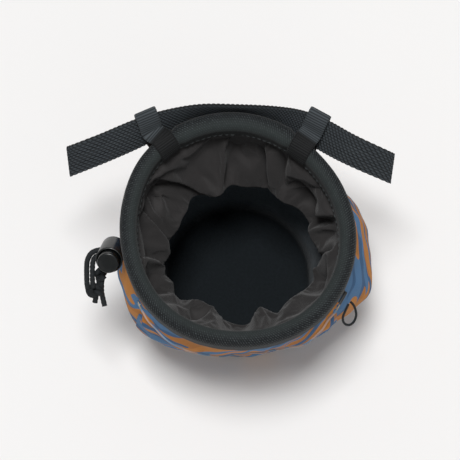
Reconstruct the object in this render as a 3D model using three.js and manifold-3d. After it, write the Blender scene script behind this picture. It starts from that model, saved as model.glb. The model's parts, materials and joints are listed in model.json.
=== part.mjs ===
// A climbing chalk bag: a round cloth bucket whose stiff bound rim holds the mouth open. A cloth skirt
// hangs inside the rim and gathers on a drawcord, which leaves the bag at the left and runs through a
// spring cord lock to a knot. A belt passes behind the bag through two ribbon loops, and a curved zip
// pocket lies across the front. Millimetres, +Z up, the climber's side of the bag at +Y. The origin is the
// middle of the base, on the ground.
import * as THREE from "three";
import { mergeVertices } from "three/addons/utils/BufferGeometryUtils.js";
import Module from "manifold-3d";

// Rim and mouth
const RIM_DIAMETER = 126; // across the outside of the binding
const RIM_WIDTH = 9; // of the binding, seen from above
const BINDING_DEPTH = 13; // from the rim's ridge down to the binding's lower edges
const BINDING_CROWN = 3; // of binding above the top edges of the walls
const BINDING_SHOULDER = 5; // height of the binding's rounded top
const MOUTH_HEIGHT = 142; // the rim's ridge above the ground, on the bag's axis
const MOUTH_TILT = 6; // degrees by which the mouth leans to the front

// Walls and base
const BASE_DIAMETER = 90;
const BASE_THICKNESS = 2.4;
const BASE_EDGE = 0.5; // slope of the base's lower edge
const NECK_DROP = 1; // from the binding's lower edge to where the wall starts to swell
const SHELL_LIFT = 0.5; // of the shell's lower edge above the ground
const SHELL_THICKNESS = 1.6;
const LINING_THICKNESS = 1.8;
const LINING_EASE = 0.7; // between the lining and the shell
const SKIRT_THICKNESS = 1;
const FIT = 0.3; // between pieces that touch on the real bag

// Gathered skirt inside the mouth
const HEM_RADIUS = 38; // of the gathered opening
const SKIRT_DROP = 56; // from the rim's ridge down to the hem

// Front pocket
const POCKET_LEFT = 214; // degrees round the bag
const POCKET_RIGHT = 326;
const POCKET_DIP = 23; // of the zip's arc, below its two ends
const POCKET_FOOT = 16; // of the pocket's lower seam above the ground
const PANEL_INSET = 1; // degrees by which the pocket ends inside the zip, and the flap outside it
const FLAP_LAP = 1; // of the flap over the pocket's top edge
const FLAP_LEAST = 6; // height of the flap over the zip at its two ends
const PANEL_THICKNESS = 1.2;
const PANEL_REST = 0.7; // from the shell's curved face to a cloth panel on it
const PANEL_SETTLE = 0.7; // share of the pocket's height below which it lies on the shell
const PIPING_DIAMETER = 2;
const ZIP_WIDTH = 8;
const ZIP_THICKNESS = 0.8;
const ZIP_TAIL = 8; // degrees by which the zip's tape passes the pocket at its right end
const SLIDER_LENGTH = 8;
const SLIDER_WIDTH = 5;
const SLIDER_THICKNESS = 2.2;
const SLIDER_CORNER = 0.8;
const SLIDER_REACH = 3; // degrees from its middle to its ends

// Belt and its two loops
const BELT_WIDTH = 20;
const BELT_THICKNESS = 2;
const LOOP_WIDTH = 12;
const LOOP_THICKNESS = 1.2;
const LOOP_EASE = 1.5; // between a loop and the belt, or the wall that it is sewn to
const LOOP_FOOT = 11; // from the binding's lower edge down to where a loop is sewn to the wall

// Cord lock
const LOCK_DIAMETER = 14.6;
const LOCK_LENGTH = 18.3; // of the barrel
const LOCK_LIP = 1.1; // wall of the barrel round the button
const LOCK_END = 1.2; // closed end of the barrel
const BUTTON_RISE = 4.5; // of the button out of the barrel
const BUTTON_TRAVEL = 4;
const BUTTON_HEAD = 6; // length of the button's head
const STEM_RADIUS = 4.4;
const BARREL_ROUND = 2.4; // of the barrel's closed end
const BUTTON_DOME = 1.6; // height of the button's domed edge
const SLIDING_FIT = 0.3; // between the button and the barrel
const SLOT_DROP = 1; // of the cord's slot below the barrel's middle

// Cords
const DRAWCORD_DIAMETER = 2.8;
const PULL_DIAMETER = 1.3;
const KNOT_WIDTH = 7.8;

// Outline of the rim seen from above, as shares of its radius
const RIM_OUTLINE = [
  { azimuth: 0, share: 0.985 },
  { azimuth: 20, share: 0.958 },
  { azimuth: 45, share: 0.94 },
  { azimuth: 70, share: 0.965 },
  { azimuth: 95, share: 0.995 },
  { azimuth: 120, share: 1.02 },
  { azimuth: 142, share: 1.035 },
  { azimuth: 165, share: 1.012 },
  { azimuth: 190, share: 0.998 },
  { azimuth: 225, share: 1 },
  { azimuth: 270, share: 0.975 },
  { azimuth: 315, share: 1.005 },
  { azimuth: 340, share: 1.004 },
];

// How the wall goes from the base's size to the rim's, and how much of the belly it has, at shares of its
// height
const WALL_PROFILE = [
  { level: 0, rise: 0, belly: 0 },
  { level: 0.06, rise: 0.1, belly: 0.1 },
  { level: 0.2, rise: 0.3, belly: 0.5 },
  { level: 0.42, rise: 0.6, belly: 0.95 },
  { level: 0.62, rise: 0.84, belly: 1 },
  { level: 0.8, rise: 0.96, belly: 0.62 },
  { level: 0.92, rise: 1, belly: 0.14 },
  { level: 1, rise: 1, belly: 0 },
];

// How far the soft wall stands out at the belly, as shares of the rim's radius
const BELLY_OUTLINE = [
  { azimuth: 12, out: 0.26 },
  { azimuth: 26, out: 0.19 },
  { azimuth: 40, out: 0.12 },
  { azimuth: 65, out: 0.06 },
  { azimuth: 90, out: 0.045 },
  { azimuth: 120, out: 0.05 },
  { azimuth: 150, out: 0.07 },
  { azimuth: 170, out: 0.09 },
  { azimuth: 189, out: 0.145 },
  { azimuth: 200, out: 0.14 },
  { azimuth: 211, out: 0.165 },
  { azimuth: 219, out: 0.14 },
  { azimuth: 227, out: 0.1 },
  { azimuth: 240, out: 0.04 },
  { azimuth: 257, out: -0.02 },
  { azimuth: 273, out: -0.06 },
  { azimuth: 295, out: -0.017 },
  { azimuth: 306, out: 0.03 },
  { azimuth: 318, out: 0.085 },
  { azimuth: 326, out: 0.125 },
  { azimuth: 333, out: 0.19 },
  { azimuth: 341, out: 0.245 },
  { azimuth: 356, out: 0.25 },
];

// Dents (inward) and soft folds (outward) of the wall: where, how wide, and how deep as shares of the
// rim's radius
const WALL_FOLDS = [
  { azimuth: 187, spread: 15, level: 0.9, reach: 0.1, out: -0.062 },
  { azimuth: 205, spread: 6, level: 0.55, reach: 0.3, out: 0.02 },
  { azimuth: 345, spread: 5, level: 0.6, reach: 0.28, out: 0.03 },
  { azimuth: 5, spread: 5, level: 0.45, reach: 0.3, out: -0.03 },
  { azimuth: 22, spread: 6, level: 0.5, reach: 0.3, out: 0.025 },
  { azimuth: 108, spread: 7, level: 0.5, reach: 0.28, out: -0.03 },
  { azimuth: 75, spread: 7, level: 0.45, reach: 0.3, out: -0.03 },
  { azimuth: 145, spread: 7, level: 0.5, reach: 0.26, out: -0.03 },
];

// The gathered hem seen from above, as shares of the hem's radius, and how much higher than the lowest it
// hangs
const HEM_FOLDS = [
  { azimuth: 12, share: 1.03, lift: 0.1 },
  { azimuth: 22, share: 1.08, lift: 0.02 },
  { azimuth: 32, share: 1.04, lift: 0.08 },
  { azimuth: 46, share: 0.9, lift: 0.16 },
  { azimuth: 64, share: 0.96, lift: 0.06 },
  { azimuth: 81, share: 0.93, lift: 0.02 },
  { azimuth: 97, share: 0.9, lift: 0.1 },
  { azimuth: 113, share: 0.83, lift: 0.16 },
  { azimuth: 130, share: 1.01, lift: 0.02 },
  { azimuth: 146, share: 0.9, lift: 0.12 },
  { azimuth: 161, share: 0.89, lift: 0.14 },
  { azimuth: 174, share: 1.04, lift: 0.03 },
  { azimuth: 184, share: 1, lift: 0.12 },
  { azimuth: 194, share: 1.15, lift: 0.02 },
  { azimuth: 207, share: 1.04, lift: 0.1 },
  { azimuth: 217, share: 1.1, lift: 0.02 },
  { azimuth: 231, share: 0.93, lift: 0.14 },
  { azimuth: 246, share: 0.92, lift: 0.16 },
  { azimuth: 257, share: 1.01, lift: 0.04 },
  { azimuth: 278, share: 1.05, lift: 0.02 },
  { azimuth: 290, share: 0.88, lift: 0.15 },
  { azimuth: 303, share: 1.07, lift: 0.03 },
  { azimuth: 320, share: 1.04, lift: 0.1 },
  { azimuth: 338, share: 1.15, lift: 0.04 },
  { azimuth: 346, share: 1.12, lift: 0.08 },
  { azimuth: 353, share: 1.29, lift: 0.02 },
  { azimuth: 359, share: 1.18, lift: 0.08 },
];

// The belt from its left end to its right end: places as shares of the rim's radius, the height of its
// middle against the mouth in belt widths, and the lean of its top edge away from the bag in degrees
const BELT_ROUTE = [
  { x: -1.444, y: 0.6, rise: -0.43, lean: 34 },
  { x: -1.143, y: 0.714, rise: -0.38, lean: 33 },
  { x: -0.852, y: 0.83, rise: -0.27, lean: 31 },
  { x: -0.603, y: 0.935, rise: -0.28, lean: 19 },
  { x: -0.317, y: 1.015, rise: -0.37, lean: 8 },
  { x: 0, y: 1.032, rise: -0.43, lean: 2 },
  { x: 0.286, y: 0.995, rise: -0.38, lean: 10 },
  { x: 0.508, y: 0.925, rise: -0.32, lean: 25 },
  { x: 0.706, y: 0.822, rise: -0.31, lean: 38 },
  { x: 0.952, y: 0.695, rise: -0.38, lean: 37 },
  { x: 1.302, y: 0.541, rise: -0.43, lean: 34 },
];

// The two belt loops: where each crosses the rim, the way that it heads out, and its place along the belt
const BELT_LOOPS = [
  { name: "belt_loop_left", azimuth: 130.5, heading: 127, along: 2.42 },
  { name: "belt_loop_right", azimuth: 53, heading: 59, along: 7.62 },
];

// The cord lock's middle, and the way its button points, in the bag's frame
const LOCK_PLACE = { azimuth: 186.5, out: 6, below: 25.2 };
const LOCK_AIM = new THREE.Vector3(-0.09, -0.568, 0.818);

// The drawcord's two strands follow this route from the wall through the lock to the knot
const DRAWCORD_ROUTE = [
  [-59.9, -7.6, 116.6],
  [-62, -7.5, 116.4],
  [-68.4, -7.2, 116],
  [-74.6, -6.9, 115.5],
  [-78.3, -8.2, 115.1],
  [-80, -11.4, 115],
  [-80.3, -15.4, 114.8],
  [-80.3, -19.4, 113.9],
  [-80.2, -23, 112.8],
  [-79.8, -25.8, 111.6],
];

// The knot's three lumps, and the ends of the two cut tails that come out of its last one
const KNOT_LUMPS = [
  { place: [-74.4, -17.6, 110.2], share: 1 },
  { place: [-75.1, -21.4, 108], share: 0.95 },
  { place: [-76.9, -25.6, 106.2], share: 1.05 },
];
const TAIL_ENDS = [
  [-77.8, -31.6, 103.5],
  [-72.8, -33.6, 103.5],
];

// The zip's pull is a loop of thin elastic cord from the slider and back to it
const PULL_ROUTE = [
  [58.7, -35.4, 117],
  [57.9, -37, 116.8],
  [56.9, -39.1, 115.8],
  [55.9, -41.5, 114],
  [56, -43.8, 112],
  [57.6, -45.3, 110.4],
  [60, -45.2, 109.4],
  [62.1, -43.3, 109.6],
  [63.1, -40.4, 110.8],
  [62.6, -37.6, 112.8],
  [61.5, -35.4, 114.4],
  [59.9, -33.8, 115.2],
];

// Fineness of the faceted solids
const WALL_SEGMENTS = 48;
const SKIRT_SEGMENTS = 60;
const LOCK_SEGMENTS = 20;
const PANEL_STEP = 6; // degrees

const RIM_RADIUS = RIM_DIAMETER / 2;
const BASE_RADIUS = BASE_DIAMETER / 2;
const TILT_SLOPE = Math.tan(THREE.MathUtils.degToRad(MOUTH_TILT));
const UP = new THREE.Vector3(0, 0, 1);

// Depths of the wall's faces inside the rim's outline, from the outside in
const STACK = SHELL_THICKNESS + LINING_EASE + LINING_THICKNESS + FIT + SKIRT_THICKNESS;
const BINDING_LEG = (RIM_WIDTH - STACK - 2 * FIT) / 2;
const SHELL_FACE = BINDING_LEG + FIT;
const LINING_FACE = SHELL_FACE + SHELL_THICKNESS + LINING_EASE;
const SKIRT_FACE = LINING_FACE + LINING_THICKNESS + FIT;
const SKIRT_INSIDE = SKIRT_FACE + SKIRT_THICKNESS;

function smooth(low, high, value) {
  const t = Math.min(1, Math.max(0, (value - low) / (high - low)));
  return t * t * (3 - 2 * t);
}

// A smooth curve through four values in a row, between the middle two
function catmull(a, b, c, d, t) {
  return b + 0.5 * t * (c - a + t * (2 * a - 5 * b + 4 * c - d + t * (3 * (b - c) + d - a)));
}

// The value in a table's column at a place along its key column, which runs on past its last row as given
// by `turn`
function readTable(table, key, column, at, turn = 0) {
  const n = table.length;
  const place = turn ? ((at % turn) + turn) % turn : at;
  const row = (i) => {
    if (!turn) return table[Math.min(n - 1, Math.max(0, i))];
    const wrapped = ((i % n) + n) % n;
    return { ...table[wrapped], [key]: table[wrapped][key] + turn * Math.floor(i / n) };
  };
  let i = turn ? -1 : 0;
  const last = turn ? n - 1 : n - 2;
  while (i < last && row(i + 1)[key] <= place) i += 1;
  const t = (place - row(i)[key]) / (row(i + 1)[key] - row(i)[key]);
  return catmull(row(i - 1)[column], row(i)[column], row(i + 1)[column], row(i + 2)[column], t);
}

function polar(radius, azimuth, z) {
  const angle = THREE.MathUtils.degToRad(azimuth);
  return new THREE.Vector3(radius * Math.cos(angle), radius * Math.sin(angle), z);
}

// Radius of the rim's outside
function rimRadius(azimuth) {
  return RIM_RADIUS * readTable(RIM_OUTLINE, "azimuth", "share", azimuth, 360);
}

// Height of the tilted mouth over a point, which is the height of the rim's ridge
function mouthHeight(point) {
  return MOUTH_HEIGHT + TILT_SLOPE * point.y;
}

function ridgeHeight(azimuth) {
  return mouthHeight(polar(rimRadius(azimuth), azimuth, 0));
}

// The wall below the binding runs from the shell's lower edge up to the neck
function neckHeight(azimuth) {
  return ridgeHeight(azimuth) - BINDING_DEPTH - NECK_DROP;
}

function foldDepth(azimuth, level) {
  return WALL_FOLDS.reduce((sum, fold) => {
    const turn = ((azimuth - fold.azimuth + 540) % 360) - 180;
    const across = Math.exp(-((turn / fold.spread) ** 2));
    const along = Math.exp(-(((level - fold.level) / fold.reach) ** 2));
    return sum + RIM_RADIUS * fold.out * across * along;
  }, 0);
}

// Radius of the shell's outer face at a height. `stand` leaves out what stands out, which the lining
// doesn't follow.
function wallRadius(azimuth, z, stand = true) {
  const level = Math.min(1, Math.max(0, (z - SHELL_LIFT) / (neckHeight(azimuth) - SHELL_LIFT)));
  const rise = readTable(WALL_PROFILE, "level", "rise", level);
  const top = rimRadius(azimuth) - SHELL_FACE;
  const belly = RIM_RADIUS * readTable(WALL_PROFILE, "level", "belly", level);
  const out = belly * readTable(BELLY_OUTLINE, "azimuth", "out", azimuth, 360);
  const fold = foldDepth(azimuth, level) * smooth(0, 0.1, level) * (1 - smooth(0.93, 1, level));
  const extra = stand ? out + fold : Math.min(0, out) + Math.min(0, fold);
  return BASE_RADIUS + rise * (top - BASE_RADIUS) + extra;
}

// A closed solid through sections, each a ring of as many points. The path is closed, or its two ends are
// capped.
function loft(sections, closedPath) {
  const sides = sections[0].length;
  const points = sections.flat();
  const index = [];
  const spans = closedPath ? sections.length : sections.length - 1;
  for (let i = 0; i < spans; i += 1) {
    const here = i * sides;
    const next = ((i + 1) % sections.length) * sides;
    for (let j = 0; j < sides; j += 1) {
      const k = (j + 1) % sides;
      index.push(here + j, here + k, next + k, here + j, next + k, next + j);
    }
  }
  if (!closedPath) {
    const ends = [
      { first: 0, forward: false },
      { first: (sections.length - 1) * sides, forward: true },
    ];
    for (const { first, forward } of ends) {
      const middle = points.length;
      const ring = points.slice(first, first + sides);
      points.push(ring.reduce((sum, p) => sum.add(p), new THREE.Vector3()).divideScalar(sides));
      for (let j = 0; j < sides; j += 1) {
        const k = (j + 1) % sides;
        if (forward) index.push(middle, first + j, first + k);
        else index.push(middle, first + k, first + j);
      }
    }
  }
  return faceOutwards(points, index);
}

// A geometry of these triangles, turned round if they enclose less than nothing
function faceOutwards(points, index) {
  let volume = 0;
  for (let i = 0; i < index.length; i += 3) {
    const [a, b, c] = [points[index[i]], points[index[i + 1]], points[index[i + 2]]];
    volume += a.dot(new THREE.Vector3().crossVectors(b, c));
  }
  const geometry = new THREE.BufferGeometry().setFromPoints(points);
  geometry.setIndex(volume < 0 ? index.toReversed() : index);
  return geometry;
}

function everyStep(count, make) {
  return Array.from({ length: count }, (_, i) => make(i));
}

// Samples from one value to another, both ends included
function steps(from, to, count) {
  return everyStep(count + 1, (i) => from + ((to - from) * i) / count);
}

// A wall round the whole bag: its section at each azimuth is a closed outline of [radius, height] pairs
function roundWall(segments, section) {
  const rings = everyStep(segments, (i) => {
    const azimuth = (360 * i) / segments;
    return section(azimuth).map(([radius, z]) => polar(radius, azimuth, z));
  });
  return loft(rings, true);
}

// Rim binding: a tape folded over the top edges of the walls, as an arch with a groove under it
function rimBinding() {
  const half = RIM_WIDTH / 2;
  const arch = steps(0, Math.PI, 6).map((angle) => [
    half * Math.cos(angle),
    BINDING_SHOULDER * (Math.sin(angle) - 1),
  ]);
  const groove = half - BINDING_LEG;
  const outline = [
    [half, -BINDING_DEPTH],
    ...arch,
    [-half, -BINDING_DEPTH],
    [-groove, -BINDING_DEPTH],
    [-groove, -BINDING_CROWN],
    [groove, -BINDING_CROWN],
    [groove, -BINDING_DEPTH],
  ];
  return roundWall(WALL_SEGMENTS, (azimuth) => {
    const middle = rimRadius(azimuth) - half;
    return outline.map(([across, up]) => [middle + across, ridgeHeight(azimuth) + up]);
  });
}

function wallTop(azimuth) {
  return ridgeHeight(azimuth) - BINDING_CROWN - FIT;
}

// Printed shell: the outer wall, open at both ends
function outerShell() {
  const outerLevels = steps(0, 1, 13);
  const innerLevels = steps(1, 0, 6);
  return roundWall(WALL_SEGMENTS, (azimuth) => {
    const neck = neckHeight(azimuth);
    const top = rimRadius(azimuth) - SHELL_FACE;
    const face = (level, depth) => {
      const z = SHELL_LIFT + level * (neck - SHELL_LIFT);
      return [wallRadius(azimuth, z) - depth, z];
    };
    return [
      ...outerLevels.map((level) => face(level, 0)),
      [top, wallTop(azimuth)],
      [top - SHELL_THICKNESS, wallTop(azimuth)],
      ...innerLevels.map((level) => face(level, SHELL_THICKNESS)),
    ];
  });
}

// Base: a round panel inside the shell's lower edge, on which the bag stands
function basePanel() {
  const radius = BASE_RADIUS - SHELL_THICKNESS - FIT;
  const profile = [
    [0, 0],
    [radius - BASE_EDGE, 0],
    [radius, BASE_EDGE],
    [radius, BASE_THICKNESS],
    [0, BASE_THICKNESS],
  ];
  return turned(profile, WALL_SEGMENTS);
}

// Fleece lining: a cup inside the shell, from the base up into the binding
function fleeceLining() {
  const segments = WALL_SEGMENTS;
  const floor = BASE_THICKNESS + FIT;
  const heights = steps(0, 1, 5);
  const ring = (radiusAt, heightAt) =>
    everyStep(segments, (i) => {
      const azimuth = (360 * i) / segments;
      const z = heightAt(azimuth);
      return polar(radiusAt(azimuth, z), azimuth, z);
    });
  const inset = SHELL_THICKNESS + LINING_EASE;
  const side = (level, depth, lowest) =>
    ring(
      (azimuth, z) => wallRadius(azimuth, z, false) - inset - depth,
      (azimuth) => lowest + level * (neckHeight(azimuth) - lowest),
    );
  const edge = (depth) => ring((azimuth) => rimRadius(azimuth) - LINING_FACE - depth, wallTop);
  const flat = (radius, z) => ring(() => radius, () => z);
  const middle = BASE_RADIUS / 8;
  const half = BASE_RADIUS * 0.6;
  return loft(
    [
      flat(middle, floor),
      flat(half, floor),
      ...heights.map((level) => side(level, 0, floor)),
      edge(0),
      edge(LINING_THICKNESS),
      ...heights.toReversed().map((level) => side(level, LINING_THICKNESS, floor + LINING_THICKNESS)),
      flat(half, floor + LINING_THICKNESS),
      flat(middle, floor + LINING_THICKNESS),
    ],
    false,
  );
}

// The share of the skirt that the binding holds
const SKIRT_HELD = (BINDING_DEPTH - BINDING_CROWN) / (SKIRT_DROP - BINDING_CROWN);

// A point of the skirt's inner face: share 0 at its top edge in the binding, 1 at the gathered hem
function skirtFace(azimuth, share) {
  const top = rimRadius(azimuth) - SKIRT_INSIDE;
  const free = Math.max(0, (share - SKIRT_HELD) / (1 - SKIRT_HELD));
  const hem = HEM_RADIUS * readTable(HEM_FOLDS, "azimuth", "share", azimuth, 360);
  const even = top + (HEM_RADIUS - top) * free ** 1.25;
  const gathered = (hem - HEM_RADIUS) * smooth(0, 1, free) * (0.35 + 0.65 * free);
  const lift = SKIRT_DROP * readTable(HEM_FOLDS, "azimuth", "lift", azimuth, 360) * free ** 2;
  const drop = BINDING_CROWN + FIT + share * (SKIRT_DROP - BINDING_CROWN);
  return [even + gathered, ridgeHeight(azimuth) - drop + lift];
}

// Closure skirt: cloth that hangs inside the rim and gathers to a smaller opening
function closureSkirt() {
  const shares = [0, ...steps(SKIRT_HELD, 1, 6)];
  return roundWall(SKIRT_SEGMENTS, (azimuth) => {
    const inner = shares.map((share) => skirtFace(azimuth, share));
    const outer = inner.map(([radius, z], i) => {
      const [before, after] = [inner[Math.max(0, i - 1)], inner[Math.min(inner.length - 1, i + 1)]];
      const along = new THREE.Vector2(after[0] - before[0], after[1] - before[1]).normalize();
      if (i < 2) along.set(0, -1);
      return [radius - SKIRT_THICKNESS * along.y, z + SKIRT_THICKNESS * along.x];
    });
    return [...inner, ...outer.toReversed()];
  });
}

// Height of the flap's hem over the pocket's zip
function zipHeight(azimuth) {
  const share = (azimuth - POCKET_LEFT) / (POCKET_RIGHT - POCKET_LEFT);
  const dip = POCKET_DIP * Math.sin(Math.PI * Math.min(1, Math.max(0, share))) ** 1.1;
  return neckHeight(azimuth) - FLAP_LEAST - dip;
}

// A cloth panel on the wall: from one azimuth to another, between two heights, at a stand-off from the
// shell
function wallPanel(from, to, low, high, standOff, thickness, rowCount) {
  const columns = steps(from, to, Math.round((to - from) / PANEL_STEP));
  const rows = steps(0, 1, rowCount);
  const sections = columns.map((azimuth) => {
    const face = (share, extra) => {
      const z = low(azimuth) + share * (high(azimuth) - low(azimuth));
      return polar(wallRadius(azimuth, z) + standOff(azimuth, share) + extra, azimuth, z);
    };
    return [
      ...rows.map((share) => face(share, 0)),
      ...rows.toReversed().map((share) => face(share, thickness)),
    ];
  });
  return loft(sections, false);
}

const ZIP_FACE = PANEL_REST + ZIP_THICKNESS; // outer face of the zip's tape, from the shell
const POCKET_LIP = ZIP_FACE + 1.5 * FIT; // where the pocket's top edge laps the tape
const FLAP_LIP = POCKET_LIP + PANEL_THICKNESS + FIT; // where the flap's hem laps the pocket

function zipTape() {
  const half = ZIP_WIDTH / 2;
  return wallPanel(
    POCKET_LEFT,
    POCKET_RIGHT + ZIP_TAIL,
    (azimuth) => zipHeight(azimuth) - half,
    (azimuth) => zipHeight(azimuth) + half,
    () => PANEL_REST,
    ZIP_THICKNESS,
    2,
  );
}

function pocketPanel() {
  return wallPanel(
    POCKET_LEFT + PANEL_INSET,
    POCKET_RIGHT - PANEL_INSET,
    () => POCKET_FOOT,
    (azimuth) => zipHeight(azimuth) - FLAP_LAP,
    (azimuth, share) => PANEL_REST + (POCKET_LIP - PANEL_REST) * smooth(0, PANEL_SETTLE, share),
    PANEL_THICKNESS,
    10,
  );
}

function pocketFlap() {
  const tuck = SHELL_FACE - FIT - PANEL_THICKNESS; // stand-off under the binding's lower edge
  return wallPanel(
    POCKET_LEFT - PANEL_INSET,
    POCKET_RIGHT,
    zipHeight,
    (azimuth) => ridgeHeight(azimuth) - BINDING_DEPTH - FIT,
    (azimuth, share) => FLAP_LIP + (tuck - FLAP_LIP) * smooth(0.1, 1, share),
    PANEL_THICKNESS,
    5,
  );
}

// A round cord of a given diameter through points, with flat ends
function cordTube(points, diameter, segments, sides) {
  const curve = new THREE.CatmullRomCurve3(points, false, "centripetal");
  const outline = new THREE.Shape();
  for (const i of everyStep(sides, (n) => n)) {
    const angle = (2 * Math.PI * i) / sides;
    const [x, y] = [(diameter / 2) * Math.cos(angle), (diameter / 2) * Math.sin(angle)];
    if (i) outline.lineTo(x, y);
    else outline.moveTo(x, y);
  }
  return new THREE.ExtrudeGeometry(outline, { steps: segments, extrudePath: curve, curveSegments: 1 });
}

// Piping: the flap's pale rolled edge
function flapPiping() {
  const radius = PIPING_DIAMETER / 2;
  const columns = steps(POCKET_LEFT - PANEL_INSET, POCKET_RIGHT, 18);
  const sections = columns.map((azimuth) => {
    const z = zipHeight(azimuth) - radius - FIT;
    const middle = wallRadius(azimuth, z) + FLAP_LIP + radius;
    return steps(0, 300, 5).map((turn) => {
      const angle = THREE.MathUtils.degToRad(turn);
      return polar(middle + radius * Math.cos(angle), azimuth, z + radius * Math.sin(angle));
    });
  });
  return loft(sections, false);
}

// The zip's slider lies on the tape just past the flap's right end, and its nose takes the pull
const SLIDER_AZIMUTH = POCKET_RIGHT + ZIP_TAIL / 2;

function zipSlider() {
  const z = zipHeight(SLIDER_AZIMUTH) - SLIDER_WIDTH / 2 - FIT;
  const corners = [-1, 1].flatMap((side) =>
    [-1, 1].map((end) => wallRadius(SLIDER_AZIMUTH + side * SLIDER_REACH, z + (end * SLIDER_WIDTH) / 2)),
  );
  const inside = Math.max(...corners) + ZIP_FACE + FIT;
  const corner = SLIDER_CORNER;
  const half = { x: SLIDER_LENGTH / 2, y: SLIDER_WIDTH / 2 };
  const outline = new THREE.Shape([
    new THREE.Vector2(half.x, half.y - corner),
    new THREE.Vector2(half.x - corner, half.y),
    new THREE.Vector2(corner - half.x, half.y),
    new THREE.Vector2(-half.x, half.y - corner),
    new THREE.Vector2(-half.x, corner - half.y),
    new THREE.Vector2(corner - half.x, -half.y),
    new THREE.Vector2(half.x - corner, -half.y),
    new THREE.Vector2(half.x, corner - half.y),
  ]);
  const block = new THREE.ExtrudeGeometry(outline, { depth: SLIDER_THICKNESS, bevelEnabled: false });
  const out = polar(1, SLIDER_AZIMUTH, 0);
  const along = new THREE.Vector3().crossVectors(UP, out);
  const turn = new THREE.Matrix4().makeBasis(along, UP, out);
  return block.applyMatrix4(turn).translate(inside * out.x, inside * out.y, z);
}

// The belt's middle, its direction, the way its width runs and the way its back faces, at a place along
// its route
function beltFrame(along) {
  const table = BELT_ROUTE.map((row, place) => ({ ...row, place }));
  const read = (column, at) => readTable(table, "place", column, at);
  const middle = (at) => {
    const point = new THREE.Vector3(RIM_RADIUS * read("x", at), RIM_RADIUS * read("y", at), 0);
    point.z = mouthHeight(point) + BELT_WIDTH * read("rise", at);
    return point;
  };
  const step = 0.02;
  const ahead = middle(Math.min(table.length - 1, along + step));
  const behind = middle(Math.max(0, along - step));
  const direction = ahead.sub(behind).normalize();
  const back = new THREE.Vector3(-direction.y, direction.x, 0).normalize();
  const lean = THREE.MathUtils.degToRad(read("lean", along));
  const width = UP.clone().multiplyScalar(Math.cos(lean)).addScaledVector(back, Math.sin(lean));
  const normal = new THREE.Vector3().crossVectors(width, direction).normalize();
  return { middle: middle(along), direction, width, normal };
}

// Belt: woven webbing, its two ends cut upright in the view from the front
function belt() {
  const last = BELT_ROUTE.length - 1;
  const places = steps(0, last, 4 * last);
  const sections = places.map((along) => {
    const { middle, width, normal, direction } = beltFrame(along);
    const slant = (along === 0 || along === last ? 1 : 0) * (direction.y / direction.x);
    const corner = (across, out) => {
      const point = middle
        .clone()
        .addScaledVector(width, (BELT_WIDTH / 2) * across)
        .addScaledVector(normal, (BELT_THICKNESS / 2) * out);
      const aside = (point.y - middle.y) * slant;
      return slant ? point.addScaledVector(direction, aside / (1 + slant * slant)) : point;
    };
    return [corner(-1, -1), corner(1, -1), corner(1, 1), corner(-1, 1)];
  });
  return loft(sections, false);
}

// A belt loop: a ribbon from inside the rim, over its ridge, over the belt and down behind it to the wall.
// Each stop of its route has the way that the ribbon's width runs there: along the rim, or along the belt.
function beltLoop({ azimuth, heading, along }) {
  const half = LOOP_THICKNESS / 2;
  const out = polar(1, heading, 0);
  const ridge = polar(rimRadius(azimuth) - RIM_WIDTH / 2, azimuth, ridgeHeight(azimuth));
  const rimWay = polar(1, azimuth + 90, 0);
  rimWay.z = TILT_SLOPE * rimWay.y;
  const atRim = (outward, up) => ({
    point: ridge.clone().addScaledVector(out, outward).addScaledVector(UP, up),
    way: rimWay,
  });

  const { middle, direction, width, normal } = beltFrame(along);
  const clear = half + LOOP_EASE + BELT_THICKNESS / 2;
  const edge = half + LOOP_EASE + BELT_WIDTH / 2;
  const atBelt = (across, back) => ({
    point: middle.clone().addScaledVector(width, across * edge).addScaledVector(normal, back * clear),
    way: direction.clone().negate(),
  });

  const beside = RIM_WIDTH / 2 + half + FIT; // the ribbon's middle, past either face of the rim
  const sewn = -BINDING_DEPTH - LOOP_FOOT;
  const foot = wallRadius(azimuth, ridge.z + sewn) - Math.hypot(ridge.x, ridge.y) + half + LOOP_EASE;
  const route = [
    atRim(-beside - 0.8, -9),
    atRim(-beside - 0.8, -4),
    atRim(-beside * 0.72, 0),
    atRim(0, half + FIT + 0.7),
    atRim(beside * 0.72, 1.3),
    atBelt(0.1, -1.3),
    atBelt(0.6, -1.1),
    atBelt(1, -0.5),
    atBelt(1, 0.5),
    atBelt(0.7, 1),
    atBelt(0, 1),
    atBelt(-0.6, 1),
    atRim(foot + 1.5, sewn + 6),
    atRim(foot, sewn),
  ];
  const middles = new THREE.CatmullRomCurve3(route.map((stop) => stop.point));
  const ways = new THREE.CatmullRomCurve3(route.map((stop) => stop.way));
  const stops = steps(0, 1, 3 * (route.length - 1));
  const sections = stops.map((t) => {
    const step = 0.004;
    const ahead = middles.getPoint(Math.min(1, t + step));
    const tangent = ahead.sub(middles.getPoint(Math.max(0, t - step))).normalize();
    const across = ways.getPoint(t).normalize();
    const face = new THREE.Vector3().crossVectors(across, tangent).normalize();
    const corner = (w, n) =>
      middles
        .getPoint(t)
        .addScaledVector(across, (LOOP_WIDTH / 2) * w)
        .addScaledVector(face, half * n);
    return [corner(-1, -1), corner(1, -1), corner(1, 1), corner(-1, 1)];
  });
  return loft(sections, false);
}

// manifold-3d joins and cuts closed meshes
const wasm = await Module();
wasm.setup();

function solidOf(geometry) {
  const bare = geometry.clone();
  bare.deleteAttribute("normal");
  bare.deleteAttribute("uv");
  const merged = mergeVertices(bare.index ? bare.toNonIndexed() : bare, 1e-4);
  const { array } = merged.attributes.position;
  const triVerts = new Uint32Array(merged.index.array);
  return new wasm.Manifold(new wasm.Mesh({ numProp: 3, vertProperties: array, triVerts }));
}

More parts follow.
